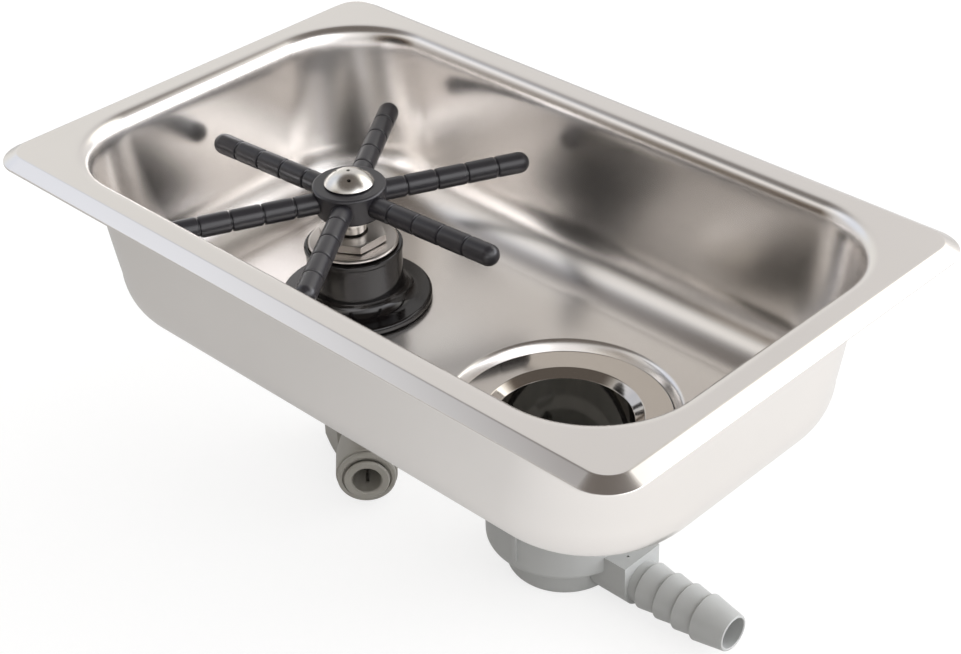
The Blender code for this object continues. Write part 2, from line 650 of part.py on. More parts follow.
def make_nozzle(chrome, plunger_axis):
    """The domed spray head: a spigot that screws over the stem and a chamber behind the jets."""
    base = HUB_TOP_Z + CLEAR
    curve = dome_radius_of_curve()
    middle = DOME_EDGE + DOME_HEIGHT - curve
    edge_angle = math.asin((curve - DOME_HEIGHT) / curve)
    chamber = STEM_SPIGOT_RADIUS + STEM_SPIGOT_FIT
    roof = DOME_EDGE + DOME_HEIGHT - NOZZLE_ROOF
    outline = [(DOME_RADIUS, 0.0)]
    outline += arc((0.0, middle), curve, edge_angle, QUARTER_TURN, DOME_STEPS)
    outline += [(0.0, roof), (chamber / 2, roof), (chamber, roof - NOZZLE_ROOF / 2),
                (chamber, -NOZZLE_SPIGOT_LENGTH), (NOZZLE_SPIGOT_RADIUS, -NOZZLE_SPIGOT_LENGTH),
                (NOZZLE_SPIGOT_RADIUS, 0.0)]
    nozzle = turned("spray_nozzle", outline, chrome, plunger_axis, base)
    bm = bmesh.new()
    low = curve - NOZZLE_ROOF - OVERRUN
    high = curve + OVERRUN
    jets = [(0.0, 0.0)]
    for index in range(JET_COUNT):
        jets.append((JET_TILT, JET_TURN + FULL_TURN * index / JET_COUNT))
    for tilt, turn in jets:
        points = spin_outline(bm, [(0.0, low), (JET_RADIUS, low), (JET_RADIUS, high), (0.0, high)], TINY_STEPS)
        matrix = (Matrix.Translation((0.0, 0.0, middle)) @ Matrix.Rotation(turn, 4, "Z")
                  @ Matrix.Rotation(tilt, 4, "Y"))
        bmesh.ops.transform(bm, matrix=matrix, verts=points)
    combine(nozzle, place("nozzle_jets", bm, chrome, plunger_axis, base), "DIFFERENCE")


def make_stem(steel, plunger_axis):
    """The hollow stem: nozzle spigot, shoulder under the hub, guide, side port and poppet tip."""
    shoulder_top = HUB_Z - CLEAR
    shoulder_low = shoulder_top - STEM_SHOULDER_LENGTH
    spigot_top = shoulder_top + STEM_SPIGOT_LENGTH
    neck_low = POPPET_TOP_Z + CLEAR
    tip_low = neck_low - STEM_TIP_LENGTH
    bore_low = CHAMBER_END_Z
    outline = [(0.0, tip_low), (STEM_TIP_RADIUS, tip_low), (STEM_TIP_RADIUS, neck_low),
               (STEM_RADIUS, neck_low), (STEM_RADIUS, shoulder_low), (STEM_SHOULDER_RADIUS, shoulder_low),
               (STEM_SHOULDER_RADIUS, shoulder_top), (STEM_SPIGOT_RADIUS, shoulder_top),
               (STEM_SPIGOT_RADIUS, spigot_top), (STEM_BORE_RADIUS, spigot_top),
               (STEM_BORE_RADIUS, bore_low), (0.0, bore_low)]
    stem = turned("plunger_stem", outline, steel, plunger_axis, steps=SMALL_STEPS)
    bm = bmesh.new()
    reach = STEM_RADIUS + OVERRUN
    outline = [(0.0, -reach), (STEM_PORT_RADIUS, -reach), (STEM_PORT_RADIUS, reach), (0.0, reach)]
    port = spin_outline(bm, outline, TINY_STEPS)
    bmesh.ops.transform(bm, matrix=Matrix.Rotation(QUARTER_TURN, 4, "Y"), verts=port)
    height = CHAMBER_END_Z + STEM_PORT_ABOVE_SEAT
    combine(stem, place("stem_port", bm, steel, plunger_axis, height), "DIFFERENCE")


def make_clip(steel, plunger_axis):
    """Open spring clip in the stem's groove, below the poppet."""
    base = POPPET_Z - CLEAR - CLIP_THICK
    inner = STEM_TIP_RADIUS + CLEAR
    clip = turned("poppet_clip", ring_outline(inner, CLIP_RADIUS, CLIP_THICK), steel, plunger_axis, base,
                  SMALL_STEPS)
    bm = bmesh.new()
    half_gap = CLIP_RADIUS * math.sin(CLIP_GAP_TURN / 2)
    bmesh.ops.create_cube(bm, size=1.0, matrix=Matrix.Translation((CLIP_RADIUS, 0.0, 0.0))
                          @ Matrix.Diagonal((CLIP_RADIUS + CLIP_RADIUS, half_gap, OVERRUN + OVERRUN, 1.0)))
    combine(clip, place("clip_gap", bm, steel, plunger_axis, base), "DIFFERENCE")


def make_poppet(brass, rubber, plunger_axis):
    bore_radius = STEM_TIP_RADIUS + CLEAR
    turned("poppet", ring_outline(bore_radius, POPPET_RADIUS, POPPET_THICK), brass, plunger_axis, POPPET_Z,
           SMALL_STEPS)
    seal_bore = STEM_RADIUS + CLEAR
    turned("poppet_seal", ring_outline(seal_bore, POPPET_RADIUS, POPPET_SEAL_THICK), rubber, plunger_axis,
           POPPET_SEAL_Z, SMALL_STEPS)


def spring_points():
    """Middle of the wire: an open helix between two closed end turns."""
    low = SPRING_END_Z + SPRING_WIRE
    high = SPRING_TOP_Z - SPRING_WIRE
    end_rise = SPRING_WIRE + SPRING_WIRE + SPRING_LEAST_GAP + CLEAR
    points = []
    total = SPRING_TURNS * SPRING_TURN_POINTS
    for index in range(total + 1):
        turns = index / SPRING_TURN_POINTS
        if turns <= 1:
            height = low + end_rise * turns
        elif turns >= SPRING_TURNS - 1:
            height = high - end_rise * (SPRING_TURNS - turns)
        else:
            share = (turns - 1) / (SPRING_TURNS - 2)
            height = low + end_rise + (high - low - end_rise - end_rise) * share
        angle = FULL_TURN * turns
        points.append(Vector((SPRING_RADIUS * math.cos(angle), SPRING_RADIUS * math.sin(angle), height)))
    return points


def least_turn_gap(points):
    """Smallest clear distance between points of the wire that lie half a turn or more apart."""
    least = None
    for index, point in enumerate(points):
        for other in points[index + SPRING_TURN_POINTS // 2:]:
            gap = (point - other).length - SPRING_WIRE - SPRING_WIRE
            least = gap if least is None else min(least, gap)
    return least


def make_spring(steel, valve_axis):
    """The return spring under the poppet, one unbroken wire."""
    points = spring_points()
    print("return spring: least gap between turns", round(least_turn_gap(points), 6))
    curve = bpy.data.curves.new("return_spring", "CURVE")
    curve.dimensions = "3D"
    curve.bevel_depth = SPRING_WIRE
    curve.bevel_resolution = 1
    curve.use_fill_caps = True
    spline = curve.splines.new("POLY")
    spline.points.add(len(points) - 1)
    for target, point in zip(spline.points, points):
        target.co = (*point, 1.0)
    curve.materials.append(steel)
    spring = bpy.data.objects.new("return_spring", curve)
    bpy.context.scene.collection.objects.link(spring)
    spring.parent = valve_axis


def make_elbow(plastic, valve_axis, leg_axis):
    """The inlet elbow: a six-sided socket that screws onto the valve body, with a tapered leg."""
    corner = BARREL_FLATS / math.sqrt(3)
    bm = bmesh.new()
    prism(bm, 6, BARREL_FLATS, BARREL_TOP_Z, BARREL_TURN)
    elbow = place("inlet_elbow", bm, plastic, valve_axis)
    envelope = [(0.0, -MERGE), (BARREL_FOOT_RADIUS, -MERGE), (corner, BARREL_CONE),
                (corner, BARREL_TOP_Z - BARREL_TOP_CONE), (BARREL_FLATS / 2, BARREL_TOP_Z + MERGE),
                (0.0, BARREL_TOP_Z + MERGE)]
    combine(elbow, turned("barrel_envelope", envelope, plastic, valve_axis), "INTERSECT")
    collar = LEG_COLLAR_RADIUS
    leg = [(0.0, 0.0), (LEG_RADIUS, 0.0), (LEG_RADIUS, LEG_TAPER_START), (collar, LEG_COLLAR_START),
           (collar, LEG_LENGTH - LEG_CHAMFER), (collar - LEG_CHAMFER, LEG_LENGTH), (0.0, LEG_LENGTH)]
    combine(elbow, turned("elbow_leg", leg, plastic, leg_axis), "UNION")
    mouth = [(0.0, 0.0), (WATERWAY_RADIUS, 0.0), (WATERWAY_RADIUS, TUBE_STOP), (TUBE_RADIUS, TUBE_STOP),
             (TUBE_RADIUS, RING_ROOM_START), (RING_ROOM_RADIUS, RING_ROOM_START),
             (RING_ROOM_RADIUS, CAP_ROOM_START), (CAP_ROOM_RADIUS, CAP_ROOM_START),
             (CAP_ROOM_RADIUS, LEG_LENGTH + OVERRUN), (0.0, LEG_LENGTH + OVERRUN)]
    combine(elbow, turned("elbow_mouth", mouth, plastic, leg_axis), "DIFFERENCE")
    socket = [(0.0, LEG_Z), (WATERWAY_RADIUS, LEG_Z), (WATERWAY_RADIUS, SOCKET_FLOOR_Z),
              (BODY_BORE, SOCKET_FLOOR_Z), (BODY_BORE, BARREL_TOP_Z + OVERRUN),
              (0.0, BARREL_TOP_Z + OVERRUN)]
    combine(elbow, turned("elbow_socket", socket, plastic, valve_axis), "DIFFERENCE")


def make_leg_fittings(plastic, rubber, valve_axis, leg_axis):
    """What the elbow holds: its socket seal, tube ring, spacer and collet cap."""
    turned("socket_seal", ring_outline(WATERWAY_RADIUS, BODY_RADIUS, SOCKET_SEAL_THICK), rubber,
           valve_axis, SOCKET_SEAL_Z, SMALL_STEPS)
    ring_middle = RING_ROOM_START + CLEAR + TUBE_RING_RADIUS
    seal_ring("tube_ring", TUBE_RADIUS, TUBE_RING_RADIUS, rubber, leg_axis, ring_middle)
    spacer_start = ring_middle + TUBE_RING_RADIUS + CLEAR
    turned("ring_spacer", ring_outline(TUBE_RADIUS, RING_ROOM_RADIUS - CLEAR, SPACER_THICK), plastic,
           leg_axis, spacer_start, SMALL_STEPS)
    skirt = CAP_ROOM_RADIUS - CLEAR
    rim = LEG_LENGTH + CLEAR
    outline = [(CAP_INNER_RADIUS, CAP_ROOM_START + CLEAR), (skirt, CAP_ROOM_START + CLEAR), (skirt, rim),
               (CAP_RIM_RADIUS, rim), (CAP_RIM_RADIUS, CAP_FACE - CAP_RIM_CHAMFER),
               (CAP_RIM_RADIUS - CAP_RIM_CHAMFER, CAP_FACE), (CAP_WELL_RADIUS, CAP_FACE),
               (CAP_WELL_RADIUS, CAP_FACE - CAP_WELL_DEPTH), (CAP_INNER_RADIUS, CAP_FACE - CAP_WELL_DEPTH)]
    turned("collet_cap", outline, plastic, leg_axis)


def make_collet(plastic, steel, collet_axis):
    """The release collet: a slotted sleeve with a flange that is pushed in to free the tube."""
    flange = COLLET_END - COLLET_FLANGE_THICK
    start = COLLET_END - COLLET_LENGTH
    outline = [(TUBE_RADIUS, start), (COLLET_RADIUS, start), (COLLET_RADIUS, flange),
               (COLLET_FLANGE_RADIUS, flange), (COLLET_FLANGE_RADIUS, COLLET_END - COLLET_MOUTH),
               (COLLET_FLANGE_RADIUS - COLLET_MOUTH, COLLET_END), (TUBE_RADIUS + COLLET_MOUTH, COLLET_END),
               (TUBE_RADIUS, COLLET_END - COLLET_MOUTH)]
    collet = turned("collet", outline, plastic, collet_axis)
    bm = bmesh.new()
    for index in range(COLLET_SLOT_COUNT // 2):
        matrix = (Matrix.Rotation(FULL_TURN * index / COLLET_SLOT_COUNT, 4, "Z")
                  @ Matrix.Translation((0.0, 0.0, start))
                  @ Matrix.Diagonal((COLLET_RADIUS * 4, COLLET_SLOT_WIDTH, COLLET_SLOT_LENGTH * 2, 1.0)))
        bmesh.ops.create_cube(bm, size=1.0, matrix=matrix)
    combine(collet, place("collet_slots", bm, plastic, collet_axis), "DIFFERENCE")
    turned("grip_ring", ring_outline(GRIP_RING_BORE, COLLET_RADIUS, GRIP_RING_THICK), steel, collet_axis,
           start - CLEAR - GRIP_RING_THICK, SMALL_STEPS)


def make_drain_flange(steel, drain_axis):
    """The steel waste: a dished flange that rolls over into a threaded tail."""
    throat_outer = TAIL_BORE + THROAT_ROUND
    throat_z = FLANGE_TOP_Z - FLANGE_DISH - THROAT_ROUND
    under = FLANGE_TOP_Z - FLANGE_THICK
    outline = [(FLANGE_RADIUS - FLANGE_EDGE_SLOPE, under), (FLANGE_RADIUS, FLANGE_TOP_Z)]
    outline += arc((throat_outer, throat_z), THROAT_ROUND, QUARTER_TURN, math.pi, THROAT_STEPS)
    outline += [(TAIL_BORE, TAIL_END_Z), (TAIL_RADIUS, TAIL_END_Z), (TAIL_RADIUS, under - FLANGE_DISH)]
    turned("drain_flange", outline, steel, drain_axis, steps=BIG_STEPS)


def make_drain_seals(rubber, drain_axis):
    gasket_radius = RECESS_RADIUS - UPPER_GASKET_SET_IN
    turned("upper_gasket", ring_outline(TAIL_HOLE, gasket_radius, UPPER_GASKET_THICK), rubber, drain_axis,
           UPPER_GASKET_Z)
    turned("lower_gasket", ring_outline(TAIL_HOLE, LOWER_GASKET_RADIUS, LOWER_GASKET_THICK), rubber,
           drain_axis, LOWER_GASKET_Z)
    turned("cup_seal", ring_outline(CUP_BORE_BELOW_SEAL, TAIL_RADIUS, CUP_SEAL_THICK), rubber, drain_axis,
           CUP_SEAL_Z)


def make_back_nut(plastic, drain_axis):
    """The eight-sided plastic nut that clamps the flange to the floor."""
    nut = chamfered_nut("back_nut", BACK_NUT_SIDES, BACK_NUT_RADIUS + BACK_NUT_RADIUS, BACK_NUT_HEIGHT,
                        BACK_NUT_CHAMFER, plastic, drain_axis, BACK_NUT_Z, math.pi / BACK_NUT_SIDES)
    bore(nut, "back_nut_bore", TAIL_HOLE, BACK_NUT_Z - OVERRUN, BACK_NUT_Z + BACK_NUT_HEIGHT + OVERRUN,
         plastic, drain_axis)


def outlet_block(plastic, outlet_axis):
    """The squared boss of the outlet: flat top and sides over a half-round underside."""
    bm = bmesh.new()
    section = [(-BLOCK_TOP, BLOCK_HALF_WIDTH), (-BLOCK_TOP, -BLOCK_HALF_WIDTH)]
    for step in range(BLOCK_ROUND_STEPS + 1):
        angle = -QUARTER_TURN + math.pi * step / BLOCK_ROUND_STEPS
        section.append((BLOCK_HALF_WIDTH * math.cos(angle), BLOCK_HALF_WIDTH * math.sin(angle)))
    face = bm.faces.new([bm.verts.new((x, y, BLOCK_START)) for x, y in section])
    grown = bmesh.ops.extrude_face_region(bm, geom=[face])
    moved = [item for item in grown["geom"] if isinstance(item, bmesh.types.BMVert)]
    bmesh.ops.translate(bm, verts=moved, vec=(0.0, 0.0, BLOCK_END - BLOCK_START))
    return place("outlet_block", bm, plastic, outlet_axis)


def barb_outline():
    """Half section of the hose tail along its axis: steep ridges that slope to the tip."""
    outline = [(0.0, BLOCK_END - OVERRUN), (BARB_VALLEY, BLOCK_END - OVERRUN)]
    for index in range(BARB_COUNT):
        ridge = BARB_FIRST + BARB_PITCH * index
        outline += [(BARB_VALLEY, ridge - BARB_BACK), (BARB_RADIUS, ridge)]
    return outline + [(TAIL_TIP_RADIUS, TAIL_TIP - TAIL_TIP_CHAMFER),
                      (TAIL_TIP_RADIUS - TAIL_TIP_CHAMFER, TAIL_TIP), (0.0, TAIL_TIP)]


def cup_ribs(plastic, drain_axis):
    """Upright mould ribs on the wide cup, square to the outlet and behind it."""
    bm = bmesh.new()
    low = CUP_STEP_Z + CUP_RIB_ABOVE_STEP
    top = CUP_TOP_Z - CUP_RIB_BELOW_TOP
    for share in CUP_RIB_TURN_SHARES:
        matrix = (Matrix.Rotation(FULL_TURN * share, 4, "Z")
                  @ Matrix.Translation((CUP_RADIUS, 0.0, (low + top) / 2))
                  @ Matrix.Diagonal((CUP_RIB_PROUD * 2, CUP_RIB_WIDTH, top - low, 1.0)))
        bmesh.ops.create_cube(bm, size=1.0, matrix=matrix)
    return place("cup_ribs", bm, plastic, drain_axis)


def make_drain_body(plastic, drain_axis, outlet_axis):
    """The moulded waste body: threaded cup, smaller sump, squared outlet and barbed hose tail."""
    outline = [(0.0, 0.0)]
    outline += arc((SUMP_FOOT_RADIUS - SUMP_ROUND, SUMP_ROUND), SUMP_ROUND, -QUARTER_TURN, 0.0, 3)
    outline += [(SUMP_RADIUS, CUP_STEP_Z)]
    outline += arc((CUP_RADIUS - CUP_STEP_ROUND, CUP_STEP_Z + CUP_STEP_ROUND), CUP_STEP_ROUND,
                   -QUARTER_TURN, 0.0, 3)
    outline += [(CUP_RADIUS, CUP_TOP_Z), (0.0, CUP_TOP_Z)]
    body = turned("drain_body", outline, plastic, drain_axis, steps=BIG_STEPS)
    combine(body, cup_ribs(plastic, drain_axis), "UNION")
    combine(body, outlet_block(plastic, outlet_axis), "UNION")
    combine(body, turned("hose_tail", barb_outline(), plastic, outlet_axis), "UNION")
    sump_top = CUP_STEP_Z + SUMP_FLOOR
    inside = [(0.0, SUMP_FLOOR), (SUMP_BORE, SUMP_FLOOR), (SUMP_BORE, sump_top),
              (CUP_BORE_BELOW_SEAL, sump_top + CUP_BORE_BELOW_SEAL - SUMP_BORE),
              (CUP_BORE_BELOW_SEAL, CUP_SHOULDER_Z), (TAIL_HOLE, CUP_SHOULDER_Z),
              (TAIL_HOLE, CUP_TOP_Z + OVERRUN), (0.0, CUP_TOP_Z + OVERRUN)]
    combine(body, turned("cup_inside", inside, plastic, drain_axis, steps=BIG_STEPS), "DIFFERENCE")
    bore(body, "outlet_bore", OUTLET_BORE, 0.0, TAIL_TIP + OVERRUN, plastic, outlet_axis)


def make_valve(materials, root):
    """The star valve: the fixed pieces and the plunger that slides in them."""
    steel, chrome, brass, rubber = (materials[name] for name in ("steel", "chrome", "brass", "rubber"))
    valve_axis = make_empty("valve_axis", (VALVE_X, 0.0, 0.0))
    valve_axis.parent = root
    plunger_axis = make_empty("plunger_axis", (0.0, 0.0, 0.0))
    plunger_axis.parent = valve_axis
    make_boot(materials["gloss_rubber"], valve_axis)
    turned("boot_washer", ring_outline(BONNET_SKIRT_RADIUS + CLEAR, WASHER_RADIUS, WASHER_THICK), steel,
           valve_axis, WASHER_Z)
    make_bonnet(steel, valve_axis)
    make_valve_body(brass, valve_axis)
    make_floor_clamp(rubber, steel, valve_axis)
    seal_ring("stem_ring", STEM_RADIUS + CLEAR, O_RING_RADIUS, rubber, valve_axis, gland_middle())
    make_star(materials["black_plastic"], plunger_axis)
    make_nozzle(chrome, plunger_axis)
    turned("nozzle_seal", ring_outline(STEM_SPIGOT_RADIUS + STEM_SPIGOT_FIT, NOZZLE_SPIGOT_RADIUS,
                                       NOZZLE_SEAL_THICK), rubber, plunger_axis,
           HUB_TOP_Z - NOZZLE_SOCKET_DEPTH + CLEAR, SMALL_STEPS)
    make_stem(chrome, plunger_axis)
    make_poppet(brass, rubber, plunger_axis)
    make_clip(steel, plunger_axis)
    make_spring(steel, valve_axis)
    turned("spring_seat", ring_outline(SPRING_SEAT_BORE, SPRING_BORE - CLEAR, SPRING_SEAT_THICK), brass,
           valve_axis, BODY_END_Z, SMALL_STEPS)
    return valve_axis


def make_inlet(materials, valve_axis):
    """The push-in elbow under the valve."""
    leg_axis = make_empty("leg_axis", (0.0, 0.0, LEG_Z), (0.0, QUARTER_TURN, LEG_TURN))
    leg_axis.parent = valve_axis
    collet_axis = make_empty("collet_axis", (0.0, 0.0, 0.0))
    collet_axis.parent = leg_axis
    warm_grey = materials["warm_grey_plastic"]
    make_elbow(warm_grey, valve_axis, leg_axis)
    make_leg_fittings(warm_grey, materials["rubber"], valve_axis, leg_axis)
    make_collet(warm_grey, materials["steel"], collet_axis)


def make_drain(materials, root):
    drain_axis = make_empty("drain_axis", (DRAIN_X, 0.0, 0.0))
    drain_axis.parent = root
    outlet_axis = make_empty("outlet_axis", (0.0, 0.0, OUTLET_Z), (0.0, QUARTER_TURN, 0.0))
    outlet_axis.parent = drain_axis
    make_drain_flange(materials["polished_steel"], drain_axis)
    make_drain_seals(materials["rubber"], drain_axis)
    make_back_nut(materials["grey_plastic"], drain_axis)
    make_drain_body(materials["grey_plastic"], drain_axis, outlet_axis)


def make_materials():
    return {
        "basin_steel": make_material("basin_steel", (0.62, 0.61, 0.59), 0.30, 1.0),
        "polished_steel": make_material("polished_steel", (0.66, 0.64, 0.62), 0.16, 1.0),
        "steel": make_material("steel", (0.58, 0.56, 0.53), 0.28, 1.0),
        "chrome": make_material("chrome", (0.74, 0.73, 0.72), 0.10, 1.0),
        "brass": make_material("brass", (0.62, 0.55, 0.38), 0.30, 1.0),
        "rubber": make_material("rubber", (0.03, 0.03, 0.03), 0.70, 0.0),
        "gloss_rubber": make_material("gloss_rubber", (0.012, 0.011, 0.011), 0.18, 0.0),
        "black_plastic": make_material("black_plastic", (0.040, 0.038, 0.042), 0.42, 0.0),
        "grey_plastic": make_material("grey_plastic", (0.46, 0.48, 0.48), 0.45, 0.0),
        "warm_grey_plastic": make_material("warm_grey_plastic", (0.44, 0.43, 0.39), 0.45, 0.0),
    }


def main():
    clear_scene()
    materials = make_materials()
    root = make_empty("rinser", (0.0, 0.0, 0.0))
    make_basin(materials["basin_steel"], root)
    valve_axis = make_valve(materials, root)
    make_inlet(materials, valve_axis)
    make_drain(materials, root)


main()
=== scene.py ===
"""Looks of the pitcher rinser: camera, studio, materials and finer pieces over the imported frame."""
import json
import math

import bmesh
import bpy
from mathutils import Matrix, Vector


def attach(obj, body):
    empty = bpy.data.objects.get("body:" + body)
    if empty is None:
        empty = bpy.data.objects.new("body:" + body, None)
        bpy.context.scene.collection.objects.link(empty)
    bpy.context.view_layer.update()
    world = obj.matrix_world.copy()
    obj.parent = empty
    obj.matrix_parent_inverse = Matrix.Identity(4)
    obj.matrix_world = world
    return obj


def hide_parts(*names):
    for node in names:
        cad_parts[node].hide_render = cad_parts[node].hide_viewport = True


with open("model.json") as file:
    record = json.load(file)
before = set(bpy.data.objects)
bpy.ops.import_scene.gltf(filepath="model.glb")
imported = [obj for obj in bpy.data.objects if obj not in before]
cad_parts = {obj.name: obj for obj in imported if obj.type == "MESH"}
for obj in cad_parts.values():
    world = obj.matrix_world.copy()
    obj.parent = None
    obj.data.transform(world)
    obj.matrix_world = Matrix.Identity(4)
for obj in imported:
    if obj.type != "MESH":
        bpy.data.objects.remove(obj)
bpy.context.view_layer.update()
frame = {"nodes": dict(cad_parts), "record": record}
NODES = frame["nodes"]
BODY_OF = {node: body for body, nodes in frame["record"]["behaviour"]["bodies"].items()
           for node in nodes}
SLOT_OF = {entry["node"]: entry["material_slot"] for entry in frame["record"]["subparts"]}

# Lengths are in metres and angles in radians, unless a name or comment says otherwise
TURN = math.tau
QUARTER = math.tau / 4
TINY = 0.0000001
CLEAR = 0.0003              # gap between two pieces that meet
OVERRUN = 0.001             # how far a cutting tool passes the surface that it cuts
ENVELOPE_STEPS = 120        # sides of the cone that turns off the corners of a nut

# Camera, fitted to the rim, the bowl and the drain in the photograph
RIM_Z = 0.1213
CAMERA_TARGET = Vector((0.05643, -0.04846, RIM_Z))
CAMERA_DISTANCE = 0.54105
CAMERA_AZIMUTH = 0.784370
CAMERA_ELEVATION = 0.593195
CAMERA_ROLL = -0.0319604
CLIP_START = 0.01
FOCAL_PIXELS = 1966.75
IMAGE_WIDTH = 961
SENSOR_WIDTH = 36.0         # millimetres

# Studio
WHITE = (1.0, 1.0, 1.0)
FLOOR_SIZE = 6.0
FLOOR_DROP = 0.0002
FLOOR_SEEN = (0.30, 0.30, 0.295)        # colour of the floor for the camera
FLOOR_BOUNCE = (0.58, 0.575, 0.565)     # colour of the floor for everything else
FLOOR_ROUGHNESS = 0.7
FLOOR_GLOW = 0.75           # shine of the floor towards the camera alone
MIRRORED_GLOW = 0.50        # shine of the floor's right part in what the steel mirrors
MIRRORED_START = -0.25      # along X, where that shine begins, and where it is full
MIRRORED_FULL = 0.20
ROOM_GREY = (0.81, 0.79, 0.78)
CEILING_STARTS = 0.70       # sine of the elevation where the dark ceiling begins, and is full
CEILING_FULL = 0.86
CEILING_GREY = (0.16, 0.14, 0.125)
CEILING_LIGHT = (0.62, 0.62, 0.62)      # what the ceiling gives to dull surfaces
ROOM_PATCHES = {            # azimuth, elevation, cosine to the soft edge, radiance added
    "window": (26, 20, 0.36, (1.18, 1.20, 1.25)),
    "low_lamp": (49, 10, 0.78, (2.75, 2.80, 3.00)),
    "right_lamp": (0, 36, 0.86, (0.80, 0.78, 0.78)),
    "recess_card": (-47, 36, 0.92, (0.28, 0.28, 0.29)),
    "window_bar": (40, 46, 0.92, (-1.60, -1.64, -1.70)),
    "side_lamp": (82, 40, 0.90, (1.0, 0.97, 0.85)),
    "dark_corner": (259, 10, 0.78, (-0.87, -0.90, -0.95)),
    "front_lamp": (190, 34, 0.88, (0.05, 0.12, 0.25)),
    "front_top": (215, 50, 0.90, (0.30, 0.29, 0.26)),
    "left_card": (160, 10, 0.80, (0.12, 0.13, 0.11)),
}

# Basin
RIM_LENGTH = 0.2650
RIM_WIDTH = 0.1624
BASIN_DEPTH = 0.0600
FLOOR_Z = RIM_Z - BASIN_DEPTH
SHEET = 0.0008
LIP_HEIGHT = 0.0006
LIP_ROUND = 0.0003
SKIRT_DROP = 0.0026
SKIRT_REACH = 0.0045
CREASE_ROUND = 0.0016
FLANGE_FLAT = 0.0049
BEND_ROUND = 0.0052
BEND_EASE = 0.0100          # how far down the wall the bend fades out
BEND_STEPS = 20
WALL_DRAFT = 0.0020
WALL_STEPS = 6
FLOOR_ROUND_ACROSS = 0.0170
FLOOR_ROUND_UP = 0.0185
FLOOR_ROUND_STEPS = 20
OUTER_CORNER = 0.0120
BOWL_CORNER = 0.0308
CORNER_GROWTH = 0.0090      # how much wider the bowl's corners are at the wall's foot
CORNER_POWER = 1.5          # over 1, they widen late on the way down
CORNER_STEPS = 28
RECESS_RADIUS = 0.0378
RECESS_SLOPE = 0.0062
RECESS_DEPTH = 0.0057
RECESS_STEPS = 18
DRAIN_RING_STEPS = 128
VALVE_RING_STEPS = 64
TAIL_HOLE = 0.0239          # radius of the holes that the waste's tail passes

# Star valve
VALVE_X = -0.0503
BODY_BORE = 0.0087          # radius of the holes that the valve's body passes
BOOT_Z = FLOOR_Z + CLEAR
WASHER_Z = 0.0833
BONNET_Z = 0.0848
BONNET_TOP_Z = 0.0876
HUB_Z = 0.0953
HUB_HEIGHT = 0.0102
HUB_RADIUS = 0.0123
STEM_BORE = 0.0039          # radius of the hub's and the nozzle's hole for the stem
DOME_Z = 0.1058
JET_COUNT = 3               # round the one at the apex
JET_RADIUS = 0.0006
JET_TILT = math.radians(28)
JET_TURN = math.radians(-41)
LOCK_NUT_Z = 0.0501
FLOOR_WASHER_Z = 0.0564
FLOOR_SEAL_Z = 0.0582

# Arms of the star
ARM_Z = 0.1004
ARM_RADIUS = 0.0036
ARM_TURN = math.radians(63.9)
ARM_COUNT = 6
ARM_ROOT = 0.0090
ARM_TIP_CENTRE = 0.0590
FACET_RADIUS = 0.0043       # flat on the hub round the root of an arm
FACET_START = 0.01165       # from the hub's axis
FACET_END = 0.0150
GROOVE_COUNT = 4
GROOVE_FIRST = 0.0190
GROOVE_PITCH = 0.0106
GROOVE_SECTION = (          # place along the arm from the groove's middle, depth
    (-0.0011, 0.0), (-0.00045, 0.00012), (-0.0002, 0.0006),
    (0.0002, 0.0006), (0.00045, 0.00012), (0.0011, 0.0))

# Inlet
LEG_Z = 0.0108
LEG_TURN = math.radians(-42.9)
BARREL_FLATS = 0.0264
BARREL_TURN = math.radians(5.6)
BARREL_TOP = 0.0338
WATERWAY = 0.0040
TUBE_BORE = 0.00495

# Drain
DRAIN_X = 0.0435
FLANGE_TOP_Z = FLOOR_Z - 0.0027
GASKET_Z = 0.0525
BACK_NUT_Z = 0.0447
OUTLET_Z = 0.0094
OUTLET_BORE = 0.0052
CUP_RADIUS = 0.0255
SUMP_RADIUS = 0.0190
BLOCK_START = 0.0185        # the squared boss, along the outlet from the cup's axis
BLOCK_END = 0.0328
BLOCK_STEPS = 24
TAIL_ROOT = 0.0070
TAIL_START = 0.0308
TAIL_TIP = 0.0692
RIDGE_COUNT = 4
RIDGE_FIRST = 0.0366
RIDGE_PITCH = 0.0072
RIDGE_SECTION = (           # place along the tail from the crest, radius
    (-0.0009, TAIL_ROOT), (-0.0007, 0.0073), (-0.0003, 0.00785), (0.0, 0.0080), (0.0003, 0.00796))
RIB_TURNS = (0.237, 0.5, 0.763)         # shares of a turn round the cup
RIB_SIZE = (0.0014, 0.0016, 0.0252)
RIB_Z = 0.0289
DIMPLE_PLACE = (0.0292, -0.0028, 0.0190)
DIMPLE_SIZE = (0.0009, 0.0009, 0.0016)


def make_camera():
    data = bpy.data.cameras.new("camera")
    data.sensor_fit = "HORIZONTAL"
    data.sensor_width = SENSOR_WIDTH
    data.lens = FOCAL_PIXELS / IMAGE_WIDTH * SENSOR_WIDTH
    data.clip_start = CLIP_START
    camera = bpy.data.objects.new("camera", data)
    bpy.context.scene.collection.objects.link(camera)
    level = math.cos(CAMERA_ELEVATION)
    back = Vector((math.sin(CAMERA_AZIMUTH) * level, -math.cos(CAMERA_AZIMUTH) * level,
                   math.sin(CAMERA_ELEVATION)))
    right = (-back).cross(Vector((0, 0, 1))).normalized()
    up = right.cross(-back)
    cos_roll, sin_roll = math.cos(CAMERA_ROLL), math.sin(CAMERA_ROLL)
    turned_right = right * cos_roll + up * sin_roll
    turned_up = up * cos_roll - right * sin_roll
    rotation = Matrix((turned_right, turned_up, back)).transposed().to_4x4()
    camera.matrix_world = Matrix.Translation(CAMERA_TARGET + back * CAMERA_DISTANCE) @ rotation
    bpy.context.scene.camera = camera


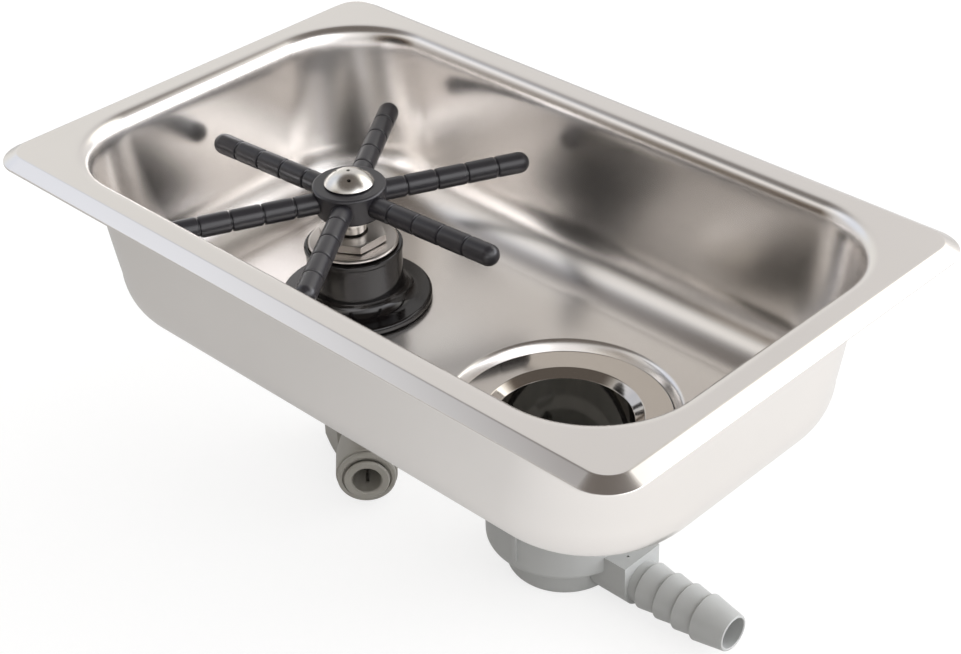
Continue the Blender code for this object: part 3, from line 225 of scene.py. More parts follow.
# Material helpers
def new_material(name, colour, roughness, metallic):
    material = bpy.data.materials.new(name)
    material.use_nodes = True
    shader = material.node_tree.nodes["Principled BSDF"]
    shader.inputs["Base Color"].default_value = (*colour, 1.0)
    shader.inputs["Roughness"].default_value = roughness
    shader.inputs["Metallic"].default_value = metallic
    return material, shader


def add_node(material, kind, **inputs):
    """A new shader node. Each input is given by its name, with _ for a space."""
    node = material.node_tree.nodes.new(kind)
    for name, value in inputs.items():
        node.inputs[name.replace("_", " ")].default_value = value
    return node


def link(material, output, target):
    material.node_tree.links.new(output, target)


def noise(material, scale, stretch=(1.0, 1.0, 1.0), detail=3.0, roughness=0.55):
    """Noise in object space, with the scale in cycles per metre."""
    coordinates = add_node(material, "ShaderNodeTexCoord")
    mapping = add_node(material, "ShaderNodeMapping", Scale=stretch)
    texture = add_node(material, "ShaderNodeTexNoise", Scale=scale, Detail=detail,
                       Roughness=roughness)
    link(material, coordinates.outputs["Object"], mapping.inputs["Vector"])
    link(material, mapping.outputs["Vector"], texture.inputs["Vector"])
    return texture.outputs["Fac"]


def span(material, value, low, high, start=0.3, end=0.7):
    """Maps a value between start and end to the range from low to high."""
    node = add_node(material, "ShaderNodeMapRange", From_Min=start, From_Max=end, To_Min=low,
                    To_Max=high)
    link(material, value, node.inputs["Value"])
    return node.outputs["Result"]


def calculate(material, operation, first, second):
    """Result of an output and either another output or a number."""
    node = add_node(material, "ShaderNodeMath")
    node.operation = operation
    link(material, first, node.inputs[0])
    if isinstance(second, float):
        node.inputs[1].default_value = second
    else:
        link(material, second, node.inputs[1])
    return node.outputs["Value"]


def bump(material, shader, height, distance, strength):
    node = add_node(material, "ShaderNodeBump", Distance=distance, Strength=strength)
    link(material, height, node.inputs["Height"])
    link(material, node.outputs["Normal"], shader.inputs["Normal"])


def tint(material, shader, value, dark, light, start=0.35, end=0.65):
    """Varies the base colour between two close tones."""
    ramp = add_node(material, "ShaderNodeValToRGB")
    for element, place, colour in zip(ramp.color_ramp.elements, (start, end), (dark, light)):
        element.position = place
        element.color = (*colour, 1.0)
    link(material, value, ramp.inputs["Fac"])
    link(material, ramp.outputs["Color"], shader.inputs["Base Color"])


def shaded(colour, share):
    return tuple(share * channel for channel in colour)


# Materials
def sheet_steel():
    """Satin rolled sheet: cloudy gloss, fine rolling lines along it and slow waves from drawing."""
    colour = (0.80, 0.775, 0.750)
    material, shader = new_material("sheet_steel", colour, roughness=0.26, metallic=1.0)
    lines = noise(material, 700.0, stretch=(0.02, 1.0, 1.0), detail=1.0, roughness=0.4)
    cloud = noise(material, 26.0, detail=2.0)
    wave = noise(material, 34.0, stretch=(1.0, 1.0, 0.35), detail=1.0, roughness=0.4)
    rough = calculate(material, "ADD", span(material, lines, low=0.0, high=0.010),
                      span(material, cloud, low=0.235, high=0.260))
    link(material, rough, shader.inputs["Roughness"])
    tint(material, shader, cloud, shaded(colour, 0.985), shaded(colour, 1.005))
    bump(material, shader, wave, distance=0.00003, strength=0.4)
    return material


def machined_steel(name, colour, rough_low, rough_high):
    """Bright metal with fine noise in its gloss."""
    material, shader = new_material(name, colour, rough_low, metallic=1.0)
    grain = noise(material, 1500.0, detail=4.0)
    link(material, span(material, grain, rough_low, rough_high), shader.inputs["Roughness"])
    tint(material, shader, grain, shaded(colour, 0.95), colour)
    bump(material, shader, grain, distance=0.000001, strength=0.4)
    return material


def turned_lines(name, colour, rough_low, rough_high, line_scale=4200.0):
    """Lathe-turned steel: rings of fine tool lines round the piece's own axis."""
    material, shader = new_material(name, colour, rough_low, metallic=1.0)
    coordinates = add_node(material, "ShaderNodeTexCoord")
    wave = add_node(material, "ShaderNodeTexWave", Scale=line_scale / TURN, Distortion=1.5,
                    Detail=2.0)
    wave.wave_type = "RINGS"
    wave.rings_direction = "Z"
    link(material, coordinates.outputs["Object"], wave.inputs["Vector"])
    lines = wave.outputs["Fac"]
    grain = noise(material, 900.0, detail=3.0)
    added = span(material, lines, low=0.0, high=0.03, start=0.0, end=1.0)
    rough = calculate(material, "ADD", added, span(material, grain, rough_low, rough_high))
    link(material, rough, shader.inputs["Roughness"])
    tint(material, shader, grain, shaded(colour, 0.97), colour)
    bump(material, shader, lines, distance=0.000001, strength=0.3)
    return material


def moulded_plastic(name, colour, rough_low, rough_high, grain_depth=0.00002, shine=0.5):
    """Moulded plastic: slightly uneven colour and a fine spark-eroded grain."""
    material, shader = new_material(name, colour, rough_low, metallic=0.0)
    shader.inputs["Specular IOR Level"].default_value = shine
    grain = noise(material, 2600.0, detail=3.0)
    cloud = noise(material, 60.0, detail=3.0)
    link(material, span(material, cloud, rough_low, rough_high), shader.inputs["Roughness"])
    tint(material, shader, cloud, shaded(colour, 0.94), colour)
    bump(material, shader, grain, grain_depth, strength=0.5)
    return material


def make_materials():
    """A material for each slot. The two numbers after a colour are its least and most roughness."""
    return {
        "basin_steel": sheet_steel(),
        "polished_steel": turned_lines("waste_steel", (0.56, 0.525, 0.485), 0.06, 0.08,
                                       line_scale=2600.0),
        "steel": turned_lines("turned_steel", (0.50, 0.47, 0.44), 0.30, 0.38),
        "chrome": machined_steel("bright_chrome", (0.74, 0.72, 0.68), 0.20, 0.25),
        "brass": machined_steel("valve_brass", (0.62, 0.52, 0.32), 0.29, 0.36),
        "rubber": moulded_plastic("seal_rubber", (0.030, 0.030, 0.030), 0.62, 0.75),
        "gloss_rubber": moulded_plastic("boot_rubber", (0.006, 0.005, 0.005), 0.09, 0.12,
                                        grain_depth=0.0000001),
        "black_plastic": moulded_plastic("star_plastic", (0.022, 0.021, 0.025), 0.29, 0.35,
                                         grain_depth=0.000006, shine=0.6),
        "grey_plastic": moulded_plastic("drain_plastic", (0.47, 0.48, 0.47), 0.36, 0.46),
        "warm_grey_plastic": moulded_plastic("fitting_plastic", (0.40, 0.385, 0.345), 0.36, 0.46),
    }


# Outlines, as points of (radius, height)
def arc(centre, radius, start, end, steps):
    """Points on an arc, both ends included."""
    points = []
    for step in range(steps + 1):
        angle = start + (end - start) * step / steps
        points.append((centre[0] + radius * math.cos(angle), centre[1] + radius * math.sin(angle)))
    return points


def rounded_corner(before, corner, after, radius, steps):
    """Points of the arc that rounds one corner of a line, made smaller where a side is short."""
    before, corner, after = Vector(before), Vector(corner), Vector(after)
    back = (before - corner).normalized()
    ahead = (after - corner).normalized()
    half_angle = back.angle(ahead) / 2
    most_of_half = 0.45
    room = most_of_half * min((before - corner).length, (after - corner).length)
    radius = min(radius, room * math.tan(half_angle))
    centre = corner + (back + ahead).normalized() * (radius / math.sin(half_angle))
    first = (corner + back * (radius / math.tan(half_angle)) - centre).normalized()
    last = (corner + ahead * (radius / math.tan(half_angle)) - centre).normalized()
    return [tuple(centre + first.slerp(last, step / steps) * radius) for step in range(steps + 1)]


def soften(outline, radius, steps=3, least_bend=math.radians(25)):
    """Rounds the sharp corners of a closed outline that lie off its axis."""
    points = []
    count = len(outline)
    for index, corner in enumerate(outline):
        before = outline[index - 1]
        after = outline[(index + 1) % count]
        back = Vector(before) - Vector(corner)
        ahead = Vector(after) - Vector(corner)
        if corner[0] < TINY or math.pi - back.angle(ahead) < least_bend:
            points.append(corner)
        else:
            points += rounded_corner(before, corner, after, radius, steps)
    return points


def ring_outline(inner, outer, height, rounding):
    """Section of a flat ring with soft edges."""
    return soften([(inner, 0.0), (outer, 0.0), (outer, height), (inner, height)], rounding)


def stepped_bore(start, steps):
    """Outline of a bore that begins at a height, with each step's radius and where it ends."""
    outline = [(0.0, start)]
    for radius, end in steps:
        outline += [(radius, start), (radius, end)]
        start = end
    return outline + [(0.0, start)]


def offset_line(points, distance):
    """The line moved sideways, to the right of its direction, with mitred corners."""
    moved = []
    for index, point in enumerate(points):
        before = Vector(points[max(index - 1, 0)])
        after = Vector(points[min(index + 1, len(points) - 1)])
        here = Vector(point)
        sides = [(end - start).normalized() for start, end in ((before, here), (here, after))
                 if (end - start).length > TINY]
        normals = [Vector((side.y, -side.x)) for side in sides]
        middle = (normals[0] + normals[-1]).normalized()
        moved.append(tuple(here + middle * (distance / middle.dot(normals[0]))))
    return moved


def mirror_radius(points):
    return [(-radius, height) for radius, height in points]


# Closed shells
def circle_ring(bm, centre_x, radius, height, steps):
    return [bm.verts.new((centre_x + radius * math.cos(TURN * step / steps),
                          radius * math.sin(TURN * step / steps), height))
            for step in range(steps)]


def join_rings(bm, rings):
    """Faces between each ring of points and the next one."""
    for first, second in zip(rings, rings[1:]):
        count = len(first)
        for index in range(count):
            following = (index + 1) % count
            bm.faces.new((first[index], first[following], second[following], second[index]))


def lathe(outline, steps, place=None):
    """An outline of (radius, height) points turned about Z, then moved by a matrix."""
    bm = bmesh.new()
    rings = []
    for radius, height in outline:
        if radius < TINY:
            rings.append([bm.verts.new((0.0, 0.0, height))] * steps)
        else:
            rings.append(circle_ring(bm, 0.0, radius, height, steps))
    for lower, upper in zip(rings, rings[1:] + rings[:1]):
        for step in range(steps):
            following = (step + 1) % steps
            corners = []
            for vert in (lower[step], lower[following], upper[following], upper[step]):
                if vert not in corners:
                    corners.append(vert)
            if len(corners) > 2:
                bm.faces.new(corners)
    if place is not None:
        bmesh.ops.transform(bm, matrix=place, verts=bm.verts)
    return bm


def threaded(inner, root, crest, low, high, pitch):
    """A tube with a helical ridge on its outside, which dies away at both ends."""
    steps, steps_per_pitch, slope, flat_gain = 64, 8, 2.6, 1.4
    bm = bmesh.new()
    count = max(int(round((high - low) / pitch * steps_per_pitch)), 4)
    rings = []
    for index in range(count + 1):
        height = low + (high - low) * index / count
        fade = min(1.0, (height - low) / pitch, (high - height) / pitch)
        ring = []
        for step in range(steps):
            phase = ((height - low) / pitch - step / steps) % 1.0
            ridge = max(0.0, 1.0 - abs(phase - 0.5) * slope) * fade
            radius = root + (crest - root) * min(ridge * flat_gain, 1.0)
            angle = TURN * step / steps
            ring.append(bm.verts.new((radius * math.cos(angle), radius * math.sin(angle), height)))
        rings.append(ring)
    rings += [circle_ring(bm, 0.0, inner, height, steps) for height in (high, low)]
    join_rings(bm, rings + rings[:1])
    return bm


def prism(sides, flats, low, high, turn):
    bm = bmesh.new()
    corner = flats / 2 / math.cos(math.pi / sides)
    place = Matrix.Translation((0.0, 0.0, (low + high) / 2)) @ Matrix.Rotation(turn, 4, "Z")
    bmesh.ops.create_cone(bm, cap_ends=True, segments=sides, radius1=corner, radius2=corner,
                          depth=high - low, matrix=place)
    return bm


def box_shell(size, place):
    """A box of the given size round its middle, moved by a matrix."""
    bm = bmesh.new()
    bmesh.ops.create_cube(bm, size=1.0, matrix=place @ Matrix.Diagonal((*size, 1.0)))
    return bm


# Objects
def settle(bm):
    """Turns a closed shell's faces outwards."""
    bmesh.ops.recalc_face_normals(bm, faces=bm.faces)
    if bm.calc_volume(signed=True) < 0:
        bmesh.ops.reverse_faces(bm, faces=bm.faces)


def mesh_object(name, *shells):
    """An object from one or more closed shells."""
    whole = bmesh.new()
    for bm in shells:
        settle(bm)
        part = bpy.data.meshes.new("shell")
        bm.to_mesh(part)
        bm.free()
        whole.from_mesh(part)
        bpy.data.meshes.remove(part)
    mesh = bpy.data.meshes.new(name)
    whole.to_mesh(mesh)
    whole.free()
    obj = bpy.data.objects.new(name, mesh)
    bpy.context.scene.collection.objects.link(obj)
    return obj


def remove(obj):
    mesh = obj.data
    bpy.data.objects.remove(obj)
    bpy.data.meshes.remove(mesh)


def join_into(obj, other):
    """Adds another object's shells to an object's mesh."""
    whole = bmesh.new()
    whole.from_mesh(obj.data)
    whole.from_mesh(other.data)
    whole.to_mesh(obj.data)
    whole.free()
    remove(other)


def combine(obj, tool, operation):
    """Applies a Boolean at once and removes its tool."""
    modifier = obj.modifiers.new("shape", "BOOLEAN")
    modifier.operation = operation
    modifier.solver = "EXACT"
    modifier.object = tool
    graph = bpy.context.evaluated_depsgraph_get()
    graph.update()
    shaped = bpy.data.meshes.new_from_object(obj.evaluated_get(graph))
    obj.modifiers.clear()
    old = obj.data
    obj.data = shaped
    bpy.data.meshes.remove(old)
    remove(tool)


def cut(obj, tool):
    combine(obj, tool, "DIFFERENCE")


def cylinder_tool(radius, low, high, steps=64, place=None):
    outline = [(0.0, low), (radius, low), (radius, high), (0.0, high)]
    return mesh_object("tool", lathe(outline, steps, place))


def nut_object(name, sides, flats, height, chamfer, turn=0.0):
    """A prism whose top and bottom corners are turned off by a cone."""
    corner = flats / 2 / math.cos(math.pi / sides) + chamfer
    inner = flats / 2
    nut = mesh_object(name, prism(sides, flats, 0.0, height, turn))
    envelope = [(0.0, -TINY), (inner, -TINY), (corner, 2 * chamfer), (corner, height - 2 * chamfer),
                (inner, height + TINY), (0.0, height + TINY)]
    combine(nut, mesh_object("tool", lathe(envelope, ENVELOPE_STEPS)), "INTERSECT")
    return nut


def at_valve(height):
    return (VALVE_X, 0.0, height)


def at_drain(height):
    return (DRAIN_X, 0.0, height)


def dress(obj, node, materials, origin=(0.0, 0.0, 0.0), sharp=32.0, bevel=0.0):
    """Finishes a piece that stands for a CAD node: smooth faces, crisp edges, material and body.

    Edges that turn by more than sharp, in degrees, stay crisp, or get a bevel. It is no wider than
    the width given, and far narrower where the piece has very short edges.
    """
    mesh = obj.data
    mesh.materials.clear()
    mesh.materials.append(materials[SLOT_OF[node]])
    mesh.shade_smooth()
    mesh.set_sharp_from_angle(angle=math.radians(sharp))
    if bevel > 0:
        edge = obj.modifiers.new("edge", "BEVEL")
        edge.width = bevel
        edge.segments = 2
        edge.limit_method = "ANGLE"
        edge.angle_limit = math.radians(sharp)
        edge.harden_normals = False
    normals = obj.modifiers.new("normals", "WEIGHTED_NORMAL")
    normals.keep_sharp = True
    obj.location = origin
    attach(obj, BODY_OF[node])
    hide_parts(node)


def dress_nodes(materials):
    """Gives every CAD node its material, for those that have no finer piece."""
    for node, slot in SLOT_OF.items():
        data = NODES[node].data
        data.materials.clear()
        data.materials.append(materials[slot])


# Basin
def eased_bend(start, corner, wall_foot, ease, steps):
    """Bend that fades out along the wall: a cubic curve with one handle at the corner."""
    start, corner, wall_foot = Vector(start), Vector(corner), Vector(wall_foot)
    end = corner + (wall_foot - corner).normalized() * ease
    handle = (end + corner) / 2
    points = []
    for step in range(steps + 1):
        share = step / steps
        rest = 1 - share
        points.append(tuple(rest ** 3 * start + 3 * rest ** 2 * share * corner
                            + 3 * rest * share ** 2 * handle + share ** 3 * end))
    return points


def basin_profile():
    """Upper side of the sheet, from the lip to the foot of the floor's round: (inset, height)."""
    lip = (0.0, -SKIRT_DROP - LIP_HEIGHT)
    skirt = (0.0, -SKIRT_DROP)
    crease = (SKIRT_REACH, 0.0)
    wall_top = (SKIRT_REACH + FLANGE_FLAT + BEND_ROUND, 0.0)
    wall_foot = (wall_top[0] + WALL_DRAFT, FLOOR_ROUND_UP - BASIN_DEPTH)
    points = [lip]
    points += rounded_corner(lip, skirt, crease, LIP_ROUND, 2)
    points += rounded_corner(skirt, crease, wall_top, CREASE_ROUND, 6)
    flange_end = (wall_top[0] - BEND_ROUND, 0.0)
    bend = eased_bend(flange_end, wall_top, wall_foot, BEND_EASE, BEND_STEPS)
    points += bend
    for step in range(1, WALL_STEPS):
        share = step / WALL_STEPS
        points.append((bend[-1][0] + (wall_foot[0] - bend[-1][0]) * share,
                       bend[-1][1] + (wall_foot[1] - bend[-1][1]) * share))
    for step in range(FLOOR_ROUND_STEPS + 1):
        angle = QUARTER * step / FLOOR_ROUND_STEPS
        points.append((wall_foot[0] + FLOOR_ROUND_ACROSS * (1 - math.cos(angle)),
                       wall_foot[1] - FLOOR_ROUND_UP * math.sin(angle)))
    return points


def plan_radius(inset, height):
    """Corner radius of the basin in plan, at a point of its profile."""
    if inset < SKIRT_REACH + FLANGE_FLAT / 2:
        return OUTER_CORNER - inset
    bowl_inset = SKIRT_REACH + FLANGE_FLAT + BEND_ROUND
    wall_share = min(max(-height, 0.0) / (BASIN_DEPTH - FLOOR_ROUND_UP), 1.0)
    return BOWL_CORNER + CORNER_GROWTH * wall_share ** CORNER_POWER - (inset - bowl_inset)


def rounded_ring(bm, inset, height, radius):
    """One closed ring of points round the basin."""
    centre_x = RIM_LENGTH / 2 - inset - radius
    centre_y = RIM_WIDTH / 2 - inset - radius
    ring = []
    for corner, (side_x, side_y) in enumerate(((1, 1), (-1, 1), (-1, -1), (1, -1))):
        for step in range(CORNER_STEPS + 1):
            angle = QUARTER * (corner + step / CORNER_STEPS)
            ring.append(bm.verts.new((side_x * centre_x + radius * math.cos(angle),
                                      side_y * centre_y + radius * math.sin(angle),
                                      RIM_Z + height)))
    return ring


def ring_edges(bm, ring):
    edges = []
    for first, second in zip(ring, ring[1:] + ring[:1]):
        edges.append(bm.edges.get((first, second)) or bm.edges.new((first, second)))
    return edges


def recess_profile():
    """Upper side of the drain's recess, from its top edge to the hole: (radius, height)."""
    points = []
    for step in range(RECESS_STEPS + 1):
        share = step / RECESS_STEPS
        points.append((RECESS_RADIUS - RECESS_SLOPE * share,
                       -RECESS_DEPTH * (1 - math.cos(math.pi * share)) / 2))
    points.append((TAIL_HOLE, -RECESS_DEPTH))
    return points


def basin_skin(bm, profile, recess, floor_z):
    """One side of the sheet. Returns its lip ring and the rings round its two holes."""
    outer = [rounded_ring(bm, inset, height, plan_radius(inset, height))
             for inset, height in profile]
    join_rings(bm, outer)
    drain = [circle_ring(bm, DRAIN_X, radius, FLOOR_Z + height, DRAIN_RING_STEPS)
             for radius, height in recess]
    join_rings(bm, drain)
    valve = circle_ring(bm, VALVE_X, BODY_BORE, floor_z, VALVE_RING_STEPS)
    edges = ring_edges(bm, outer[-1]) + ring_edges(bm, drain[0]) + ring_edges(bm, valve)
    bmesh.ops.triangle_fill(bm, use_beauty=True, use_dissolve=False, edges=edges)
    return outer[0], drain[-1], valve


def make_basin(materials):
    """Drawn sheet: an upper and a lower skin, joined at the lip and at the two holes."""
    bm = bmesh.new()
    upper_profile = basin_profile()
    upper_recess = recess_profile()
    lower_profile = offset_line(upper_profile, SHEET)
    lower_recess = mirror_radius(offset_line(mirror_radius(upper_recess), SHEET))
    upper = basin_skin(bm, upper_profile, upper_recess, FLOOR_Z)
    lower = basin_skin(bm, lower_profile, lower_recess, FLOOR_Z - SHEET)
    for upper_ring, lower_ring in zip(upper, lower):
        join_rings(bm, [upper_ring, lower_ring])
    dress(mesh_object("basin_sheet", bm), "basin", materials, sharp=50.0)


# Valve
def make_boot(materials):
    """Glossy boot: crown bead over a fine groove, straight sides, cove and rounded foot."""
    side, bead, foot, hollow = 0.0161, 0.0165, 0.0255, 0.0131
    top, bead_foot, groove, side_top, hollow_top = 0.0214, 0.0199, 0.0195, 0.0192, 0.0169
    bead_round, ease = 0.0005, 0.0001
    cove, foot_height, foot_round, heel_round = 0.0046, 0.0026, 0.0011, 0.0006
    outline = [(BODY_BORE, top), (bead - bead_round, top)]
    outline += arc((bead - bead_round, top - bead_round), bead_round, QUARTER, 0.0, 4)
    outline += [(bead, bead_foot), (bead - ease, (bead_foot + groove) / 2), (side - ease, groove),
                (side, side_top)]
    outline += arc((side + cove, foot_height + cove), cove, math.pi, math.pi + QUARTER, 14)
    outline += arc((foot - foot_round, foot_height - foot_round), foot_round, QUARTER, 0.0, 6)
    outline += arc((foot - heel_round, heel_round), heel_round, 0.0, -QUARTER, 3)
    outline += [(hollow, 0.0), (hollow, hollow_top), (BODY_BORE, hollow_top)]
    boot = mesh_object("boot", lathe(outline, steps=128))
    dress(boot, "valve_boot", materials, at_valve(BOOT_Z))


def make_washer(materials):
    """Dished steel washer: flat face, rolled outer edge."""
    hole, flat, thickness, bevel = 0.0073, 0.0146, 0.0012, 0.0002
    low_round, top_round = 0.0006, 0.0010
    outline = [(hole, 0.0), (flat, 0.0)]
    outline += arc((flat, low_round), low_round, -QUARTER, 0.0, 4)
    outline += arc((flat + low_round - top_round, thickness - top_round), top_round, 0.0, QUARTER,
                   6)[1:]
    outline += [(hole + bevel, thickness), (hole, thickness - bevel)]
    washer = mesh_object("crown_washer", lathe(outline, steps=128))
    dress(washer, "boot_washer", materials, at_valve(WASHER_Z))


def make_bonnet(materials):
    """Hexagon with a well for the stem's shoulder, over a short threaded skirt."""
    height = BONNET_TOP_Z - BONNET_Z
    edge, well, well_depth = 0.00015, 0.0052, 0.0046
    bonnet = nut_object("bonnet", sides=6, flats=0.0200, height=height, chamfer=edge)
    skirt = threaded(inner=0.0035, root=0.0064, crest=0.0070, low=-0.0122, high=0.0004,
                     pitch=0.0013)
    combine(bonnet, mesh_object("skirt", skirt), "UNION")
    cut(bonnet, cylinder_tool(well, height - well_depth, height + OVERRUN))
    dress(bonnet, "valve_bonnet", materials, at_valve(BONNET_Z), bevel=edge)


def make_stem(materials):
    """Hollow stem: spigot in the hub, shoulder, shaft and a thin tip for the poppet."""
    spigot, shoulder, shaft, tip, bore = 0.0036, 0.0047, 0.0032, 0.0020, 0.0017
    top, shoulder_foot, low = 0.0086, -0.0067, -0.0540
    tip_top, bore_end = low + 0.0046, -0.0441
    outline = [(0.0, low), (tip, low), (tip, tip_top), (shaft, tip_top), (shaft, shoulder_foot),
               (shoulder, shoulder_foot), (shoulder, 0.0), (spigot, 0.0), (spigot, top),
               (bore, top), (bore, bore_end), (0.0, bore_end)]
    stem = mesh_object("stem", lathe(soften(outline, radius=0.0002, steps=2), steps=64))
    dress(stem, "plunger_stem", materials, at_valve(HUB_Z - CLEAR))


def arm_outline():
    """Half section of one arm along its axis: ring grooves and a round end."""
    outline = [(0.0, ARM_ROOT), (ARM_RADIUS, ARM_ROOT)]
    for index in range(GROOVE_COUNT):
        middle = GROOVE_FIRST + GROOVE_PITCH * index
        outline += [(ARM_RADIUS - depth, middle + along) for along, depth in GROOVE_SECTION]
    return outline + arc((0.0, ARM_TIP_CENTRE), ARM_RADIUS, 0.0, QUARTER, 12)


def make_star(materials):
    """Hub with a flat facet round the root of each arm, and six grooved arms with ball ends."""
    foot, rounding = 0.0114, 0.0009
    seat, seat_depth, lead = 0.0063, 0.0068, 0.0003
    seat_z = HUB_HEIGHT - seat_depth
    outline = [(STEM_BORE, 0.0)]
    outline += arc((foot - rounding, rounding), rounding, -QUARTER, 0.0, 5)
    outline += arc((HUB_RADIUS - rounding, HUB_HEIGHT - rounding), rounding, 0.0, QUARTER, 6)
    outline += [(seat + lead, HUB_HEIGHT), (seat, HUB_HEIGHT - lead), (seat, seat_z),
                (STEM_BORE, seat_z)]
    star = mesh_object("star_hub", lathe(outline, steps=144))
    arms = []
    for index in range(ARM_COUNT):
        turn = ARM_TURN + TURN * index / ARM_COUNT
        place = (Matrix.Translation((0.0, 0.0, ARM_Z - HUB_Z)) @ Matrix.Rotation(turn, 4, "Z")
                 @ Matrix.Rotation(QUARTER, 4, "Y"))
        cut(star, cylinder_tool(FACET_RADIUS, FACET_START, FACET_END, 48, place))
        arms.append(lathe(arm_outline(), 40, place))
    join_into(star, mesh_object("arms", *arms))
    dress(star, "star", materials, at_valve(HUB_Z), sharp=28.0)


def make_nozzle(materials):
    """Domed spray head with an apex jet and three tilted ones."""
    radius, height, edge, bevel = 0.0082, 0.0041, 0.0004, 0.0002
    hollow_flat, hollow_top, bore_top = 0.0020, 0.0028, 0.0019
    skirt, skirt_foot, jet_depth = 0.0060, -0.0055, 0.0037
    curve = (radius ** 2 + height ** 2) / (2 * height)
    middle = edge + height - curve
    outline = [(radius - bevel, 0.0), (radius, bevel)]
    outline += arc((0.0, middle), curve, math.asin((curve - height) / curve), QUARTER, 24)
    outline += [(0.0, hollow_top), (hollow_flat, hollow_top), (STEM_BORE, bore_top),
                (STEM_BORE, skirt_foot), (skirt, skirt_foot), (skirt, 0.0)]
    nozzle = mesh_object("nozzle", lathe(outline, steps=128))
    jets = [(0.0, 0.0)]
    jets += [(JET_TILT, JET_TURN + TURN * index / JET_COUNT) for index in range(JET_COUNT)]
    for tilt, turn in jets:
        place = (Matrix.Translation((0.0, 0.0, middle)) @ Matrix.Rotation(turn, 4, "Z")
                 @ Matrix.Rotation(tilt, 4, "Y"))
        cut(nozzle, cylinder_tool(JET_RADIUS, curve - jet_depth, curve + 2 * OVERRUN, 24, place))
    dress(nozzle, "spray_nozzle", materials, at_valve(DOME_Z))


def make_floor_clamp(materials):
    """What shows under the floor: seal, washer, lock nut and the threaded body."""
    seal = ring_outline(BODY_BORE, 0.0140, height=0.0020, rounding=0.0004)
    dress(mesh_object("floor_ring", lathe(seal, steps=96)), "floor_seal", materials,
          at_valve(FLOOR_SEAL_Z))
    washer = ring_outline(BODY_BORE, 0.0152, height=0.0015, rounding=0.0003)
    dress(mesh_object("floor_plate", lathe(washer, steps=96)), "floor_washer", materials,
          at_valve(FLOOR_WASHER_Z))
    nut_height = 0.0060
    nut = nut_object("clamp_nut", sides=6, flats=0.0270, height=nut_height, chamfer=0.0008)
    cut(nut, cylinder_tool(BODY_BORE, -OVERRUN, nut_height + OVERRUN, steps=96))
    dress(nut, "lock_nut", materials, at_valve(LOCK_NUT_Z), bevel=0.0002)
    body = threaded(inner=0.0064, root=0.0077, crest=0.0084, low=0.0233, high=0.0827, pitch=0.0014)
    dress(mesh_object("threaded_body", body), "valve_body", materials, at_valve(0.0))


# Inlet
def leg_matrix():
    return (Matrix.Translation((0.0, 0.0, LEG_Z)) @ Matrix.Rotation(LEG_TURN, 4, "Z")
            @ Matrix.Rotation(QUARTER, 4, "Y"))


def make_elbow(materials):
    """Six-sided socket with a coned foot, and a leg that widens to a collar round the mouth."""
    corner = BARREL_FLATS / math.sqrt(3)
    foot, foot_height, chamfer = 0.0114, 0.0023, 0.0012
    elbow = mesh_object("elbow", prism(6, BARREL_FLATS, 0.0, BARREL_TOP, BARREL_TURN))
    envelope = [(0.0, -TINY), (foot, -TINY), (corner, foot_height), (corner, BARREL_TOP - chamfer),
                (BARREL_FLATS / 2, BARREL_TOP + TINY), (0.0, BARREL_TOP + TINY)]
    combine(elbow, mesh_object("tool", lathe(envelope, ENVELOPE_STEPS)), "INTERSECT")
    neck, collar, lip = 0.0084, 0.0105, 0.0006
    neck_end, collar_start, leg_end = 0.0105, 0.0215, 0.0329
    leg = [(0.0, 0.0), (neck, 0.0), (neck, neck_end), (collar, collar_start),
           (collar, leg_end - lip), (collar - 0.0001, leg_end - 0.0002), (collar - lip, leg_end),
           (0.0, leg_end)]
    combine(elbow, mesh_object("tool", lathe(leg, 96, leg_matrix())), "UNION")
    ring_bore, cap_bore = 0.0073, 0.0089
    tube_stop, ring_seat, cap_seat, socket_floor = 0.0135, 0.0172, 0.0275, 0.0213
    mouth = stepped_bore(0.0, ((WATERWAY, tube_stop), (TUBE_BORE, ring_seat),
                               (ring_bore, cap_seat), (cap_bore, leg_end + 2 * OVERRUN)))
    cut(elbow, mesh_object("tool", lathe(mouth, 96, leg_matrix())))
    socket = stepped_bore(LEG_Z, ((WATERWAY, socket_floor),
                                  (BODY_BORE, BARREL_TOP + 2 * OVERRUN)))
    cut(elbow, mesh_object("tool", lathe(socket, steps=96)))
    dress(elbow, "inlet_elbow", materials, at_valve(0.0))


def make_cap(materials):
    """Ring pressed into the elbow's mouth, with a lip over it."""
    inner, sleeve, lip, recess = 0.0071, 0.0086, 0.0100, 0.0083
    start, seat, end, recess_floor, bevel = 0.0278, 0.0332, 0.0350, 0.0341, 0.0005
    outline = [(inner, start), (sleeve, start), (sleeve, seat), (lip, seat), (lip, end - bevel),
               (lip - bevel, end), (recess, end), (recess, recess_floor), (inner, recess_floor)]
    shell = lathe(soften(outline, radius=0.0003), 96, leg_matrix())
    cap = mesh_object("mouth_cap", shell)
    dress(cap, "collet_cap", materials, at_valve(0.0))


def make_collet(materials):
    """Slotted release collet inside the cap."""
    sleeve, head, head_height, bevel = 0.0067, 0.0077, 0.0012, 0.0005
    end = 0.0366
    start = end - 0.0128
    outline = [(TUBE_BORE, start), (sleeve, start), (sleeve, end - head_height),
               (head, end - head_height), (head, end - bevel), (head - bevel, end),
               (TUBE_BORE + bevel, end), (TUBE_BORE, end - bevel)]
    collet = mesh_object("release_collet", lathe(soften(outline, radius=0.0002), steps=96))
    slot_size = (0.03, 0.0012, 0.0140)
    for index in range(2):
        place = Matrix.Rotation(QUARTER * index, 4, "Z") @ Matrix.Translation((0.0, 0.0, start))
        cut(collet, mesh_object("tool", box_shell(slot_size, place)))
    collet.data.transform(leg_matrix())
    dress(collet, "collet", materials, at_valve(0.0))


